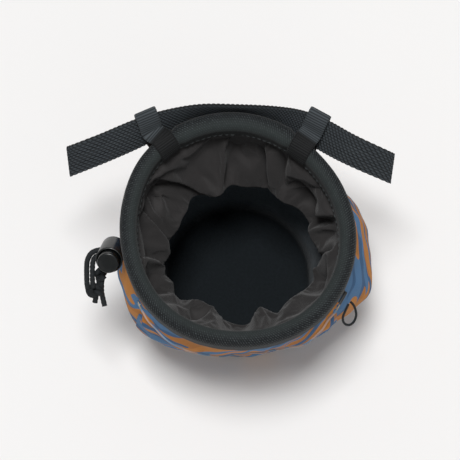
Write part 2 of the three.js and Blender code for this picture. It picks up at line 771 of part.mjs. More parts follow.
function geometryOf(solid) {
  const { vertProperties, triVerts } = solid.getMesh();
  const geometry = new THREE.BufferGeometry();
  geometry.setAttribute("position", new THREE.BufferAttribute(vertProperties, 3));
  return geometry.setIndex(new THREE.BufferAttribute(triVerts, 1));
}

// A body turned about Z from a profile of [radius, height] pairs, whose ends are on the axis
function turned(profile, segments) {
  const points = profile.map(([radius, z]) => new THREE.Vector2(radius, z));
  return new THREE.LatheGeometry(points, segments).rotateX(Math.PI / 2);
}

// The slot that takes both strands of the drawcord runs along X through the lock. It is made long enough
// for `travel`.
const SLOT_WIDTH = 2 * DRAWCORD_DIAMETER + 3 * FIT;
const SLOT_HEIGHT = DRAWCORD_DIAMETER + 2 * FIT;
const LOCK_RADIUS = LOCK_DIAMETER / 2;
const LOCK_TOP = LOCK_LENGTH / 2; // of the barrel's lip, above the lock's place
const HEAD_RADIUS = LOCK_RADIUS - LOCK_LIP - SLIDING_FIT;

function cordSlot(travel) {
  const slot = new THREE.BoxGeometry(3 * LOCK_DIAMETER, SLOT_WIDTH, SLOT_HEIGHT + travel);
  return slot.translate(0, 0, travel / 2 - SLOT_DROP);
}

// Barrel: open at the top for the button, with a narrower bore for its stem
function lockBarrel() {
  const bottom = LOCK_TOP - LOCK_LENGTH;
  const seat = LOCK_TOP + BUTTON_RISE - BUTTON_HEAD - BUTTON_TRAVEL - SLIDING_FIT;
  const bore = STEM_RADIUS + SLIDING_FIT;
  const shoulder = 0.3 * BARREL_ROUND;
  const lip = LOCK_LIP / 3;
  const body = turned(
    [
      [0, bottom],
      [LOCK_RADIUS - BARREL_ROUND, bottom],
      [LOCK_RADIUS - shoulder, bottom + shoulder],
      [LOCK_RADIUS, bottom + BARREL_ROUND],
      [LOCK_RADIUS, LOCK_TOP - lip],
      [LOCK_RADIUS - lip, LOCK_TOP],
      [HEAD_RADIUS + SLIDING_FIT, LOCK_TOP],
      [HEAD_RADIUS + SLIDING_FIT, seat],
      [bore, seat],
      [bore, bottom + LOCK_END],
      [0, bottom + LOCK_END],
    ],
    LOCK_SEGMENTS,
  );
  return geometryOf(solidOf(body).subtract(solidOf(cordSlot(0))));
}

// Button: a domed head on a stem with a long slot, so that it slides down past the cord
function lockButton() {
  const top = LOCK_TOP + BUTTON_RISE;
  const foot = LOCK_TOP - LOCK_LENGTH + LOCK_END + BUTTON_TRAVEL + SLIDING_FIT;
  const body = turned(
    [
      [0, foot],
      [STEM_RADIUS, foot],
      [STEM_RADIUS, top - BUTTON_HEAD],
      [HEAD_RADIUS, top - BUTTON_HEAD],
      [HEAD_RADIUS, top - BUTTON_DOME],
      [HEAD_RADIUS - 0.35 * BUTTON_DOME, top - 0.4 * BUTTON_DOME],
      [HEAD_RADIUS - BUTTON_DOME, top - 0.1 * BUTTON_DOME],
      [0, top],
    ],
    LOCK_SEGMENTS,
  );
  return geometryOf(solidOf(body).subtract(solidOf(cordSlot(BUTTON_TRAVEL))));
}

// The two strands lie side by side, half a diameter and half a gap each side of the route
function drawcordStrand(side) {
  const aside = (side * (DRAWCORD_DIAMETER + FIT)) / 2;
  const route = DRAWCORD_ROUTE.map((p) => new THREE.Vector3(...p));
  const points = route.map((point, i) => {
    const before = route[Math.max(0, i - 1)];
    const ahead = route[Math.min(route.length - 1, i + 1)].clone().sub(before);
    const across = new THREE.Vector3().crossVectors(LOCK_AIM, ahead).normalize();
    return point.clone().addScaledVector(across, aside);
  });
  return cordTube(points, DRAWCORD_DIAMETER, 14, 8);
}

// Knot: the strands' overhand knot as one solid of rounded lumps, with the two cut tails that come out of
// it
function drawcordKnot() {
  const lumps = KNOT_LUMPS.map(({ place, share }) =>
    solidOf(new THREE.SphereGeometry((share * KNOT_WIDTH) / 2, 10, 7).translate(...place)),
  );
  const root = new THREE.Vector3(...KNOT_LUMPS.at(-1).place);
  const tails = TAIL_ENDS.map((end) =>
    solidOf(cordTube([root, new THREE.Vector3(...end)], DRAWCORD_DIAMETER, 3, 8)),
  );
  return geometryOf([...lumps, ...tails].reduce((sum, solid) => sum.add(solid)));
}

// Zip pull: the thin cord's loop
function zipPull() {
  return cordTube(PULL_ROUTE.map((p) => new THREE.Vector3(...p)), PULL_DIAMETER, 20, 8);
}

// Finishes
const cloth = (color, roughness = 0.9) => new THREE.MeshStandardMaterial({ color, roughness, metalness: 0 });
const finishes = {
  printed: cloth(0x5d7a9b, 0.8),
  base: cloth(0x23262a),
  binding: cloth(0x34383a),
  skirt: cloth(0x353334, 0.75),
  fleece: cloth(0x14181c, 1),
  piping: cloth(0x8fa6bb, 0.8),
  zip: cloth(0x17191b),
  webbing: cloth(0x25282a),
  ribbon: cloth(0x2c2f31),
  plastic: cloth(0x1b1e20, 0.4),
  cord: cloth(0x1d2022),
};

const bag = new THREE.Group();

function addPiece(name, geometry, finish, parent = bag) {
  const mesh = new THREE.Mesh(geometry, finishes[finish]);
  mesh.name = name;
  parent.add(mesh);
  return mesh;
}

addPiece("outer_shell", outerShell(), "printed");
addPiece("base_panel", basePanel(), "base");
addPiece("fleece_lining", fleeceLining(), "fleece");
addPiece("closure_skirt", closureSkirt(), "skirt");
addPiece("rim_binding", rimBinding(), "binding");
addPiece("zip_tape", zipTape(), "zip");
addPiece("pocket_panel", pocketPanel(), "printed");
addPiece("pocket_flap", pocketFlap(), "printed");
addPiece("flap_piping", flapPiping(), "piping");
addPiece("zip_slider", zipSlider(), "plastic");
addPiece("zip_pull", zipPull(), "cord");
addPiece("belt", belt(), "webbing");
for (const loop of BELT_LOOPS) addPiece(loop.name, beltLoop(loop), "ribbon");

// The cord lock is made upright about its own middle, then set beside the bag with its slot across
const lock = new THREE.Group();
const lockSpot = polar(rimRadius(LOCK_PLACE.azimuth) + LOCK_PLACE.out, LOCK_PLACE.azimuth, 0);
lock.position.set(lockSpot.x, lockSpot.y, MOUTH_HEIGHT - LOCK_PLACE.below);
const lockAxis = LOCK_AIM.clone().normalize();
const lockSlot = new THREE.Vector3(-1, 0, 0);
lockSlot.addScaledVector(lockAxis, -lockSlot.dot(lockAxis)).normalize();
const lockSide = new THREE.Vector3().crossVectors(lockAxis, lockSlot);
lock.quaternion.setFromRotationMatrix(new THREE.Matrix4().makeBasis(lockSlot, lockSide, lockAxis));
addPiece("cord_lock_barrel", lockBarrel(), "plastic", lock);
addPiece("cord_lock_button", lockButton(), "plastic", lock);
bag.add(lock);

addPiece("drawcord_front", drawcordStrand(1), "cord");
addPiece("drawcord_rear", drawcordStrand(-1), "cord");
addPiece("drawcord_knot", drawcordKnot(), "cord");

export default bag;
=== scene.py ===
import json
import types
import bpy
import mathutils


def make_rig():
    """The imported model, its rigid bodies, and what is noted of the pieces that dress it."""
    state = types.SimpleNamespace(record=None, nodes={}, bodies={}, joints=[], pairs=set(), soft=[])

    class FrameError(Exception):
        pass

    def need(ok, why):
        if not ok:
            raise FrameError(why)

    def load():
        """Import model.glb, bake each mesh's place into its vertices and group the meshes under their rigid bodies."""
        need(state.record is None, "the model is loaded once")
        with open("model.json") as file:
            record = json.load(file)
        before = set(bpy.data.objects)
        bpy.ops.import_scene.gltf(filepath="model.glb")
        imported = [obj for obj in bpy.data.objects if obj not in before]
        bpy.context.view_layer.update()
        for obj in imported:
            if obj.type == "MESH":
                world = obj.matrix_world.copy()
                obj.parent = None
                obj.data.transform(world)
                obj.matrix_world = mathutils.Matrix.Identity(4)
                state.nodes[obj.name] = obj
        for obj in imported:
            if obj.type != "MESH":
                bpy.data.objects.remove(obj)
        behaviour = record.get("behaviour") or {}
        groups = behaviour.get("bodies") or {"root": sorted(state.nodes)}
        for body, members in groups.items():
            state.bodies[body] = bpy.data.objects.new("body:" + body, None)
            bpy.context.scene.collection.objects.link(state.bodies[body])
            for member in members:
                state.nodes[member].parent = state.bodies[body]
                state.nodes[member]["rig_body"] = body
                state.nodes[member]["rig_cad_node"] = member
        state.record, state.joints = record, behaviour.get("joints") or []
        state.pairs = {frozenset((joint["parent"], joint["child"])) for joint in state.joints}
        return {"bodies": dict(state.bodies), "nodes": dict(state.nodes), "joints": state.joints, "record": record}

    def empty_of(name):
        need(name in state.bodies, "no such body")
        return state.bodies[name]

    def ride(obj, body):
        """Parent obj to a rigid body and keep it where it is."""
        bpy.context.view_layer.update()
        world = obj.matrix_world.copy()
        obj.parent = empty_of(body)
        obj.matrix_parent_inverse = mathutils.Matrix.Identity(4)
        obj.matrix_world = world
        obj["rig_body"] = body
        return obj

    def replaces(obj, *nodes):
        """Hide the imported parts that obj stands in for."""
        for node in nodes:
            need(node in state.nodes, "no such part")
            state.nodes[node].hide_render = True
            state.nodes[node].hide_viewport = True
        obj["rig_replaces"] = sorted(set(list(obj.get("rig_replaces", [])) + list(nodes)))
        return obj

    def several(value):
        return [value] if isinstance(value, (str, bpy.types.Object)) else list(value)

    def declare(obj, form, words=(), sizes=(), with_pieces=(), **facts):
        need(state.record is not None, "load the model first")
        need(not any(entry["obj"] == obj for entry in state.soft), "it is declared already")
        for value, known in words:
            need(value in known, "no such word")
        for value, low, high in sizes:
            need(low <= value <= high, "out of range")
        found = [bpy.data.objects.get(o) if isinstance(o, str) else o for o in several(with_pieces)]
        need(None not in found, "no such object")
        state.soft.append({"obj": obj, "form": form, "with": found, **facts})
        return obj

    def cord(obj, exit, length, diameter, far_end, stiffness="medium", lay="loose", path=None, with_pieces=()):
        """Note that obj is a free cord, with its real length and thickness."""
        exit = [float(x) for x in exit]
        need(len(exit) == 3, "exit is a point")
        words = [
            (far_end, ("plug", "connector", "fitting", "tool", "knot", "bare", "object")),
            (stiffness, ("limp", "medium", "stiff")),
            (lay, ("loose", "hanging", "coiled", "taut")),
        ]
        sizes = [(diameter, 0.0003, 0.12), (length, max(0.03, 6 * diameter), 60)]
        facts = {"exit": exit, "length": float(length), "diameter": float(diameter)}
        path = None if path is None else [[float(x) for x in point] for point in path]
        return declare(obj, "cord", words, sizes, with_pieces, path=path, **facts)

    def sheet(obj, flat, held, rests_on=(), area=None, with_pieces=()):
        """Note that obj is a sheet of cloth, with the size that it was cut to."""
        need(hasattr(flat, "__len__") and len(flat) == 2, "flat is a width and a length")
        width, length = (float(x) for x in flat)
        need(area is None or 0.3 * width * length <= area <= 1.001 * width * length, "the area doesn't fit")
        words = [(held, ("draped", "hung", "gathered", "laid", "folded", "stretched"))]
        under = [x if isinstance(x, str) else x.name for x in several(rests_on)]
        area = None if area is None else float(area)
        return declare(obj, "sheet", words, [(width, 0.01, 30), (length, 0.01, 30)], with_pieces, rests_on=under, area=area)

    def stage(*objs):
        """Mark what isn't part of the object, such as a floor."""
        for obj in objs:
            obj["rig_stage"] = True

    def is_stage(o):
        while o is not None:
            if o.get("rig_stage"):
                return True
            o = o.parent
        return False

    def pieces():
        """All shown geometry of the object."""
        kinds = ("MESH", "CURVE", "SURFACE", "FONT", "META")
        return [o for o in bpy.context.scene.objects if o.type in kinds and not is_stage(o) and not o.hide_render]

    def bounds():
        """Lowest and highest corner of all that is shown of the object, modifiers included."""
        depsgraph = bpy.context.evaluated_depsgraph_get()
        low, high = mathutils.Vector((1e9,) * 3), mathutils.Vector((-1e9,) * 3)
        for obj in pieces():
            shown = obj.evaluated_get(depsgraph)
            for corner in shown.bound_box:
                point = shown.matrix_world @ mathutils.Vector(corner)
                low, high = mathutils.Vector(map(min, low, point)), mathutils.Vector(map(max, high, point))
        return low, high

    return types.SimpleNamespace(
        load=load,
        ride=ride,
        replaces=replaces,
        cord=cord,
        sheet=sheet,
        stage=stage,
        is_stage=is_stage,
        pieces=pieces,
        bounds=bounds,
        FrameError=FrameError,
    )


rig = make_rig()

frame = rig.load()
cad_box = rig.bounds()
import json
import math
from functools import lru_cache
import bpy
from mathutils import Matrix, Vector, noise

# %% [markdown]
# # A climbing chalk bag
# A chalk bag is a small cloth bucket that hangs behind a climber. Its rim is stiffened so that a hand
# finds the way in, and a thin cloth skirt inside the rim gathers on a drawcord to keep the chalk in.
# This lesson dresses the plain solids of the bag with cloth, cord and webbing. The solids and this scene
# share one frame: +Z is up, -Y is the side with the pocket, and the origin is under the base.
# %% Names for the sizes
MM = 0.001  # the lengths below are in millimetres, and Blender's are in metres

RIM_RADIUS = 63
RIM_WIDTH = 9
BINDING_DEPTH = 13
BINDING_SHOULDER = 5
MOUTH_HEIGHT = 142
TILT_SLOPE = math.tan(math.radians(6))
BASE_RADIUS = 45
SHELL_LIFT = 0.5
SHELL_FACE = 1.8  # from the rim's outline in to the shell's face
SKIRT_INSIDE = 7.2  # from the rim's outline in to the skirt's inner face
SHELL_THICKNESS = 1.6
LINING_EASE = 0.7  # between the lining and the wall
LINING_THICKNESS = 1.8
UP = Vector((0, 0, 1))


def smooth(low, high, value):
    t = min(1, max(0, (value - low) / (high - low)))
    return t * t * (3 - 2 * t)


def bump_at(value, middle, spread):
    return math.exp(-(((value - middle) / spread) ** 2))


def turn_between(azimuth, other):
    return (azimuth - other + 540) % 360 - 180


print("sizes named, the solids' box is", [[round(x / MM, 1) for x in corner] for corner in cad_box])

# %% [markdown]
# ## Tables for the soft shapes
# A hand-sewn bag has no exact shape. A few short tables hold its shape as seen from above: how round the
# rim is, how the wall swells, and where the skirt's hem folds. A smooth curve through the rows gives every
# place between them, so the mesh may be as fine as it likes.
# %% Tables and the curve that reads them
RIM_OUTLINE = [
    (0, 0.985), (20, 0.958), (45, 0.94), (70, 0.965), (95, 0.995), (120, 1.02), (142, 1.035),
    (165, 1.012), (190, 0.998), (225, 1), (270, 0.975), (315, 1.005), (340, 1.004),
]
WALL_PROFILE = [  # level, rise from the base's size to the rim's, share of the belly
    (0, 0, 0), (0.06, 0.1, 0.1), (0.2, 0.3, 0.5), (0.42, 0.6, 0.95),
    (0.62, 0.84, 1), (0.8, 0.96, 0.62), (0.92, 1, 0.14), (1, 1, 0),
]
BELLY_OUTLINE = [
    (12, 0.26), (26, 0.19), (40, 0.12), (65, 0.06), (90, 0.045), (120, 0.05), (150, 0.07), (170, 0.09),
    (189, 0.145), (200, 0.14), (211, 0.165), (219, 0.14), (227, 0.1), (240, 0.04), (257, -0.02),
    (273, -0.06), (295, -0.017), (306, 0.03), (318, 0.085), (326, 0.125), (333, 0.19), (341, 0.245),
    (356, 0.25),
]
WALL_FOLDS = [  # azimuth, spread, level, reach, out
    (187, 15, 0.9, 0.1, -0.062), (205, 6, 0.55, 0.3, 0.02), (345, 5, 0.6, 0.28, 0.03),
    (5, 5, 0.45, 0.3, -0.03), (22, 6, 0.5, 0.3, 0.025), (108, 7, 0.5, 0.28, -0.03),
    (75, 7, 0.45, 0.3, -0.03), (145, 7, 0.5, 0.26, -0.03),
]


def read_table(rows, at, column=1, turn=0):
    """A smooth curve through a table's rows, which starts again after `turn` degrees."""
    count = len(rows)
    at = at % turn if turn else at

    def row(i):
        if not turn:
            return rows[min(count - 1, max(0, i))]
        return (rows[i % count][0] + turn * (i // count), *rows[i % count][1:])

    i = -1 if turn else 0
    last = count - 1 if turn else count - 2
    while i < last and row(i + 1)[0] <= at:
        i += 1
    t = (at - row(i)[0]) / (row(i + 1)[0] - row(i)[0])
    a, b, c, d = (row(i + step)[column] for step in (-1, 0, 1, 2))
    return b + 0.5 * t * (c - a + t * (2 * a - 5 * b + 4 * c - d + t * (3 * (b - c) + d - a)))


def polar(radius, azimuth, z):
    angle = math.radians(azimuth)
    return Vector((radius * math.cos(angle), radius * math.sin(angle), z))


@lru_cache(maxsize=None)
def rim_radius(azimuth):
    return RIM_RADIUS * read_table(RIM_OUTLINE, azimuth, turn=360)


def mouth_height(point):
    return MOUTH_HEIGHT + TILT_SLOPE * point.y


@lru_cache(maxsize=None)
def ridge_height(azimuth):
    return mouth_height(polar(rim_radius(azimuth), azimuth, 0))


def neck_height(azimuth):
    return ridge_height(azimuth) - BINDING_DEPTH - 1


print("the rim is", round(2 * rim_radius(0)), "mm across and", round(ridge_height(90)), "mm high at the back")

# %% [markdown]
# ## Camera
# The picture looks down into the mouth from the front, almost from above. A long lens from a metre away
# keeps the rim nearly as round as it is. The camera comes first, because the free cords are measured
# against what it sees.
# %% Camera
RIM_MIDDLE = Vector((0, 0, MOUTH_HEIGHT)) * MM
CAMERA_ELEVATION = 77
CAMERA_DISTANCE = 1.0
CAMERA_LENS = 148.7
AIM_LEFT = 4.7  # the bag stands this far right of the picture's middle, in millimetres
AIM_DOWN = 0.5

bpy.ops.object.select_all(action="DESELECT")
bpy.ops.object.camera_add()
camera = bpy.context.object
camera.name = "photo_camera"
camera.data.sensor_width = 36
camera.data.lens = CAMERA_LENS
elevation = math.radians(CAMERA_ELEVATION)
back_way = Vector((0, -math.cos(elevation), math.sin(elevation)))
picture_up = Vector((0, math.sin(elevation), math.cos(elevation)))
aim = RIM_MIDDLE - Vector((AIM_LEFT * MM, 0, 0)) - picture_up * AIM_DOWN * MM
camera.location = aim + back_way * CAMERA_DISTANCE
camera.rotation_mode = "QUATERNION"
camera.rotation_quaternion = back_way.to_track_quat("Z", "Y")
camera.data.clip_start = 0.05
bpy.context.scene.camera = camera
print("camera", CAMERA_ELEVATION, "degrees above the floor, lens", camera.data.lens, "mm")

# %% [markdown]
# ## Helpers for cloth and cord
# Cloth is a grid: it has a length and a width, and every one of its vertices is put where the real cloth
# lies. Its UV map stays in metres of flat cloth, so that a weave drawn on it has its real size. A cord is a
# grid too, rolled round a line, with its UV map along and around it.
# %% Helper: a grid of cloth
def plain_cloth(name, columns, rows, place, flat, ring=False, relief=None):
    """place(u, v) gives a point in millimetres, u and v from 0 to 1. flat is the cloth's size.

    relief(u, v) is kept with the mesh, for a finish that paints shade into the hollows."""
    bpy.ops.object.select_all(action="DESELECT")
    bpy.ops.mesh.primitive_grid_add(x_subdivisions=columns, y_subdivisions=rows, size=2)
    piece = bpy.context.object
    piece.name = name
    piece.data.name = name
    painted_shade_weights = piece.data.attributes.new("relief", "FLOAT", "POINT")
    for vertex in piece.data.vertices:
        u = round((vertex.co.x + 1) / 2, 6)
        v = round((vertex.co.y + 1) / 2, 6)
        vertex.co = place(u, v) * MM
        painted_shade_weights.data[vertex.index].value = relief(u, v) if relief else 1
    for corner in piece.data.uv_layers.active.data:
        corner.uv = (corner.uv[0] * flat[0] * MM, corner.uv[1] * flat[1] * MM)
    if ring:
        bpy.ops.object.mode_set(mode="EDIT")
        bpy.ops.mesh.select_all(action="SELECT")
        bpy.ops.mesh.remove_doubles(threshold=0.000001)
        bpy.ops.object.mode_set(mode="OBJECT")
    bpy.ops.object.shade_smooth()
    return piece


def make_active(piece):
    bpy.ops.object.select_all(action="DESELECT")
    piece.select_set(True)
    bpy.context.view_layer.objects.active = piece


def thicken(piece, thickness, offset=-1):
    """Give a sheet its thickness: inwards with offset -1, both ways with offset 0."""
    make_active(piece)
    solidify = piece.modifiers.new("Thickness", "SOLIDIFY")
    solidify.thickness = thickness * MM
    solidify.offset = offset
    solidify.use_even_offset = False
    bpy.ops.object.modifier_apply(modifier=solidify.name)
    return piece


def turn_faces(piece, inside=False):
    make_active(piece)
    bpy.ops.object.mode_set(mode="EDIT")
    bpy.ops.mesh.select_all(action="SELECT")
    bpy.ops.mesh.normals_make_consistent(inside=inside)
    bpy.ops.object.mode_set(mode="OBJECT")


# %% [markdown]
# A smooth curve through a few stops gives the line of a cord, with its points at even lengths. The cord's
# grid is then rolled round that line, on a frame that is carried along without a twist.
# %% Helper: smooth lines and cords
def curve_through(stops, count):
    """`count` points at even lengths along a smooth line through the stops."""
    stops = [Vector(stop) for stop in stops]
    rows = [stops[0] * 2 - stops[1], *stops, stops[-1] * 2 - stops[-2]]
    fine = []
    for a, b, c, d in zip(rows, rows[1:], rows[2:], rows[3:]):
        for step in range(24):
            t = step / 24
            fine.append(b + 0.5 * t * (c - a + t * (2 * a - 5 * b + 4 * c - d + t * (3 * (b - c) + d - a))))
    fine.append(stops[-1])
    lengths = [0]
    for before, after in zip(fine, fine[1:]):
        lengths.append(lengths[-1] + (after - before).length)
    points = []
    i = 0
    for step in range(count):
        wanted = lengths[-1] * step / (count - 1)
        while i < len(fine) - 2 and lengths[i + 1] < wanted:
            i += 1
        share = (wanted - lengths[i]) / max(1e-9, lengths[i + 1] - lengths[i])
        points.append(fine[i].lerp(fine[i + 1], min(1, share)))
    return points, lengths[-1]


def cord_piece(name, stops, diameter, count, sides=16, relief=None):
    """A closed round cord along a smooth line. relief(u, turn) adds to its radius."""
    points, length = curve_through(stops, count)
    tangents = [(points[min(count - 1, i + 1)] - points[max(0, i - 1)]).normalized() for i in range(count)]
    side = tangents[0].orthogonal().normalized()
    frames = []
    for tangent in tangents:
        side = (side - tangent * side.dot(tangent)).normalized()
        frames.append((side.copy(), tangent.cross(side)))

    def place(u, v):
        i = min(count - 1, round(u * (count + 1)) - 1)
        end = 0 if i < 0 or round(u * (count + 1)) > count else 1
        i = max(0, i)
        angle = 2 * math.pi * v
        radius = end * (diameter / 2 + (relief(i / (count - 1), angle) if relief else 0))
        across, over = frames[i]
        return points[i] + (across * math.cos(angle) + over * math.sin(angle)) * radius

    piece = plain_cloth(name, count + 1, sides, place, (length, math.pi * diameter), ring=True)
    turn_faces(piece)
    return piece, points, length


print("helpers for cloth and cord are ready")

# %% [markdown]
# ## Cord lock and drawcord
# The drawcord leaves the bag through a hole under the rim, both its strands run through a spring lock, and
# they end in a knot with two short tails. The strands follow the same route as the solids'.
# A braid's surface is a fine criss-cross, which is cut into the cord's mesh as a shallow relief.
# %% Drawcord strands
DRAWCORD_DIAMETER = 2.8
LOCK_AIM = Vector((-0.09, -0.568, 0.818)).normalized()
DRAWCORD_ROUTE = [
    (-59.9, -7.6, 116.6), (-62, -7.5, 116.4), (-68.4, -7.2, 116), (-74.6, -6.9, 115.5),
    (-78.3, -8.2, 115.1), (-80, -11.4, 115), (-80.3, -15.4, 114.8), (-80.3, -19.4, 113.9),
    (-80.2, -23, 112.8), (-79.8, -25.8, 111.6),
]


def braid(pitch, depth, around=4):
    """The relief of a braid: rounded strands that cross both ways round the cord."""
    def relief_of(length):
        turns = length / pitch

        def relief(u, angle):
            one = math.sin(2 * math.pi * turns * u + around * angle)
            other = math.sin(2 * math.pi * turns * u - around * angle)
            return depth * (max(one, other) - 0.4)

        return relief

    return relief_of


def strand_stops(side):
    aside = side * (DRAWCORD_DIAMETER + 0.3) / 2
    route = [Vector(stop) for stop in DRAWCORD_ROUTE]
    stops = []
    for i, stop in enumerate(route):
        ahead = route[min(len(route) - 1, i + 1)] - route[max(0, i - 1)]
        stops.append(stop + LOCK_AIM.cross(ahead).normalized() * aside)
    return stops


def drawcord_strand(name, side):
    length = curve_through(strand_stops(side), 40)[1]
    relief = braid(2.2, 0.13)(length)
    return cord_piece(name, strand_stops(side), DRAWCORD_DIAMETER, 170, 24, relief)


strand_front, front_line, front_length = drawcord_strand("drawcord_strand_front", 1)
strand_rear, rear_line, rear_length = drawcord_strand("drawcord_strand_rear", -1)
print("strands", round(front_length, 1), "and", round(rear_length, 1), "mm long")

# %% [markdown]
# ## Knot
# Both strands are tied together in one overhand knot. A real knot is one pair of cords that passes through
# itself. Here it is laid out as what the eye sees of it: four turns of cord round the knot's line, two runs
# that carry the strands through them, and two tails that come out below.
# %% Knot
def knot_cord(name, stops):
    length = curve_through(stops, 40)[1]
    relief = braid(2.2, 0.13)(length)
    return cord_piece(name, stops, DRAWCORD_DIAMETER, max(40, round(length * 3)), 20, relief)[0]


def knot_wrap(name, middle, axis, radius, start):
    """A turn of cord round the knot's line, of which one end rides over the other."""
    axis = Vector(axis).normalized()
    side = axis.cross(UP).normalized()
    over = side.cross(axis)
    stops = []
    for step in range(10):
        angle = math.radians(start + 40 * step)
        ring = side * math.cos(angle) + over * math.sin(angle)
        stops.append(Vector(middle) + ring * radius + axis * 1.5 * (step / 9 - 0.5))
    return knot_cord(name, stops)


KNOT_WRAPS = [  # middle, the line that it lies round, radius, where it starts
    ("knot_wrap_1", (-75.4, -16.4, 111.2), (0.75, -0.55, -0.2), 2.4, 20),
    ("knot_wrap_2", (-73.3, -18.4, 110.4), (0.75, -0.55, -0.2), 2.5, 90),
    ("knot_wrap_3", (-77.2, -24.4, 108.2), (0.4, 0.85, 0.2), 2.3, 110),
    ("knot_wrap_4", (-76.2, -27, 106.6), (0.3, 0.85, 0.3), 2.3, 200),
]
KNOT_RUNS = [
    ("knot_run_1", [(-79.8, -25.8, 111.6), (-79.4, -27.8, 109.6), (-77.6, -28.4, 108), (-75.6, -26.6, 107.6),
                    (-74.3, -23, 108.6), (-73.8, -19.6, 110), (-74.2, -16.4, 111.4)]),
    ("knot_run_2", [(-81.2, -25, 111.4), (-81, -27.4, 109.6), (-79.4, -28.8, 107.4), (-76.8, -27.8, 106.4),
                    (-75.4, -24.2, 107.4), (-75.8, -20.4, 109.4), (-76.6, -17.4, 111)]),
    ("knot_tail_1", [(-75.8, -22.6, 108), (-76.6, -26.4, 106), (-77.4, -29.4, 104.6), (-78, -32, 103.4)]),
    ("knot_tail_2", [(-74.2, -22.4, 108), (-74.2, -26.8, 105.8), (-73.4, -30.6, 104.6), (-72.6, -34, 103.6)]),
]
knot_parts = [knot_wrap(*wrap) for wrap in KNOT_WRAPS] + [knot_cord(*run) for run in KNOT_RUNS]
make_active(knot_parts[0])
for part in knot_parts:
    part.select_set(True)
bpy.ops.object.join()
knot = bpy.context.object
knot.name = "drawcord_overhand_knot"
print("knot of", len(knot.data.polygons), "faces")

# %% [markdown]
# ## Zip pull
# A loop of thin elastic cord is tied to the slider, so that a cold hand finds it. It stands stiffly off the
# bag in a small ring.
# %% Zip pull
PULL_DIAMETER = 1.3
PULL_ROUTE = [
    (58.7, -35.4, 117), (57.9, -37, 116.8), (56.9, -39.1, 115.8), (55.9, -41.5, 114),
    (56, -43.8, 112), (57.6, -45.3, 110.4), (60, -45.2, 109.4), (62.1, -43.3, 109.6),
    (63.1, -40.4, 110.8), (62.6, -37.6, 112.8), (61.5, -35.4, 114.4), (59.9, -33.8, 115.2),
]
pull, pull_line, pull_length = cord_piece("zip_pull_loop", PULL_ROUTE, PULL_DIAMETER, 120, 12)
print("pull", round(pull_length, 1), "mm of cord")

# %% [markdown]
# ## Cord lock
# The lock is a plastic barrel with a spring button. It is built upright at the origin from two cylinders:
# the barrel's top is inset and pressed down to make the seat of the button, and its edges are bevelled. Then
# its mesh is set in its place beside the bag, tilted as it hangs. The strands go in and out through the
# barrel's side. No slot is cut for them, because each fills the place where its hole would be seen.
# %% Cord lock
LOCK_RADIUS = 7.3
LOCK_LENGTH = 18.3
LOCK_TOP = LOCK_LENGTH / 2
LOCK_SPOT = polar(rim_radius(186.5) + 6, 186.5, MOUTH_HEIGHT - 25.2)
BUTTON_RADIUS = 5.8
BUTTON_RISE = 4.5
BUTTON_FOOT = 1.4  # of the cap inside the barrel at rest, so that its 4 mm of travel ends above the cords
LOCK_LIP = 1.1  # wall of the barrel round the button
SEAT_DEPTH = 6


def lock_matrix():
    slot = Vector((-1, 0, 0))
    slot = (slot - LOCK_AIM * slot.dot(LOCK_AIM)).normalized()
    side = LOCK_AIM.cross(slot)
    turn = Matrix((slot, side, LOCK_AIM)).transposed().to_4x4()
    return Matrix.Translation(LOCK_SPOT * MM) @ turn


def select_faces(piece, test):
    """Select the faces whose middle and normal pass the test, in edit mode."""
    bpy.ops.object.mode_set(mode="EDIT")
    bpy.ops.mesh.select_mode(type="FACE")
    bpy.ops.mesh.select_all(action="DESELECT")
    bpy.ops.object.mode_set(mode="OBJECT")
    for face in piece.data.polygons:
        face.select = test(face.center / MM, face.normal)
    bpy.ops.object.mode_set(mode="EDIT")


def turned_piece(name, radius, low, high, sides=64):
    bpy.ops.object.select_all(action="DESELECT")
    bpy.ops.mesh.primitive_cylinder_add(
        vertices=sides, radius=radius * MM, depth=(high - low) * MM, location=(0, 0, (low + high) / 2 * MM)
    )
    piece = bpy.context.object
    piece.name = name
    bpy.ops.object.transform_apply(location=True, rotation=True, scale=True)
    return piece


def bevel_edges(piece, width, segments, angle=30):
    make_active(piece)
    bevel = piece.modifiers.new("Edges", "BEVEL")
    bevel.width = width * MM
    bevel.segments = segments
    bevel.limit_method = "ANGLE"
    bevel.angle_limit = math.radians(angle)
    bpy.ops.object.modifier_apply(modifier=bevel.name)


def press_down(inset, depth):
    """Inset the selected faces and push them down, as a new step."""
    bpy.ops.mesh.inset(thickness=inset * MM, depth=0)
    bpy.ops.mesh.extrude_region_move(TRANSFORM_OT_translate={"value": (0, 0, -depth * MM)})


barrel = turned_piece("lock_barrel", LOCK_RADIUS, -LOCK_TOP, LOCK_TOP)
select_faces(barrel, lambda middle, normal: normal.z > 0.9)
press_down(LOCK_LIP, SEAT_DEPTH)
select_faces(barrel, lambda middle, normal: normal.z < -0.9)
bpy.ops.mesh.inset(thickness=1.6 * MM, depth=0)
bpy.ops.object.mode_set(mode="OBJECT")
bevel_edges(barrel, 0.8, 4)
for vertex in barrel.data.vertices:
    height = vertex.co.z / MM
    if height < 2 - LOCK_TOP:
        squeeze = 1 - 0.16 * (1 - (height + LOCK_TOP) / 2) ** 2
        vertex.co.x *= squeeze
        vertex.co.y *= squeeze

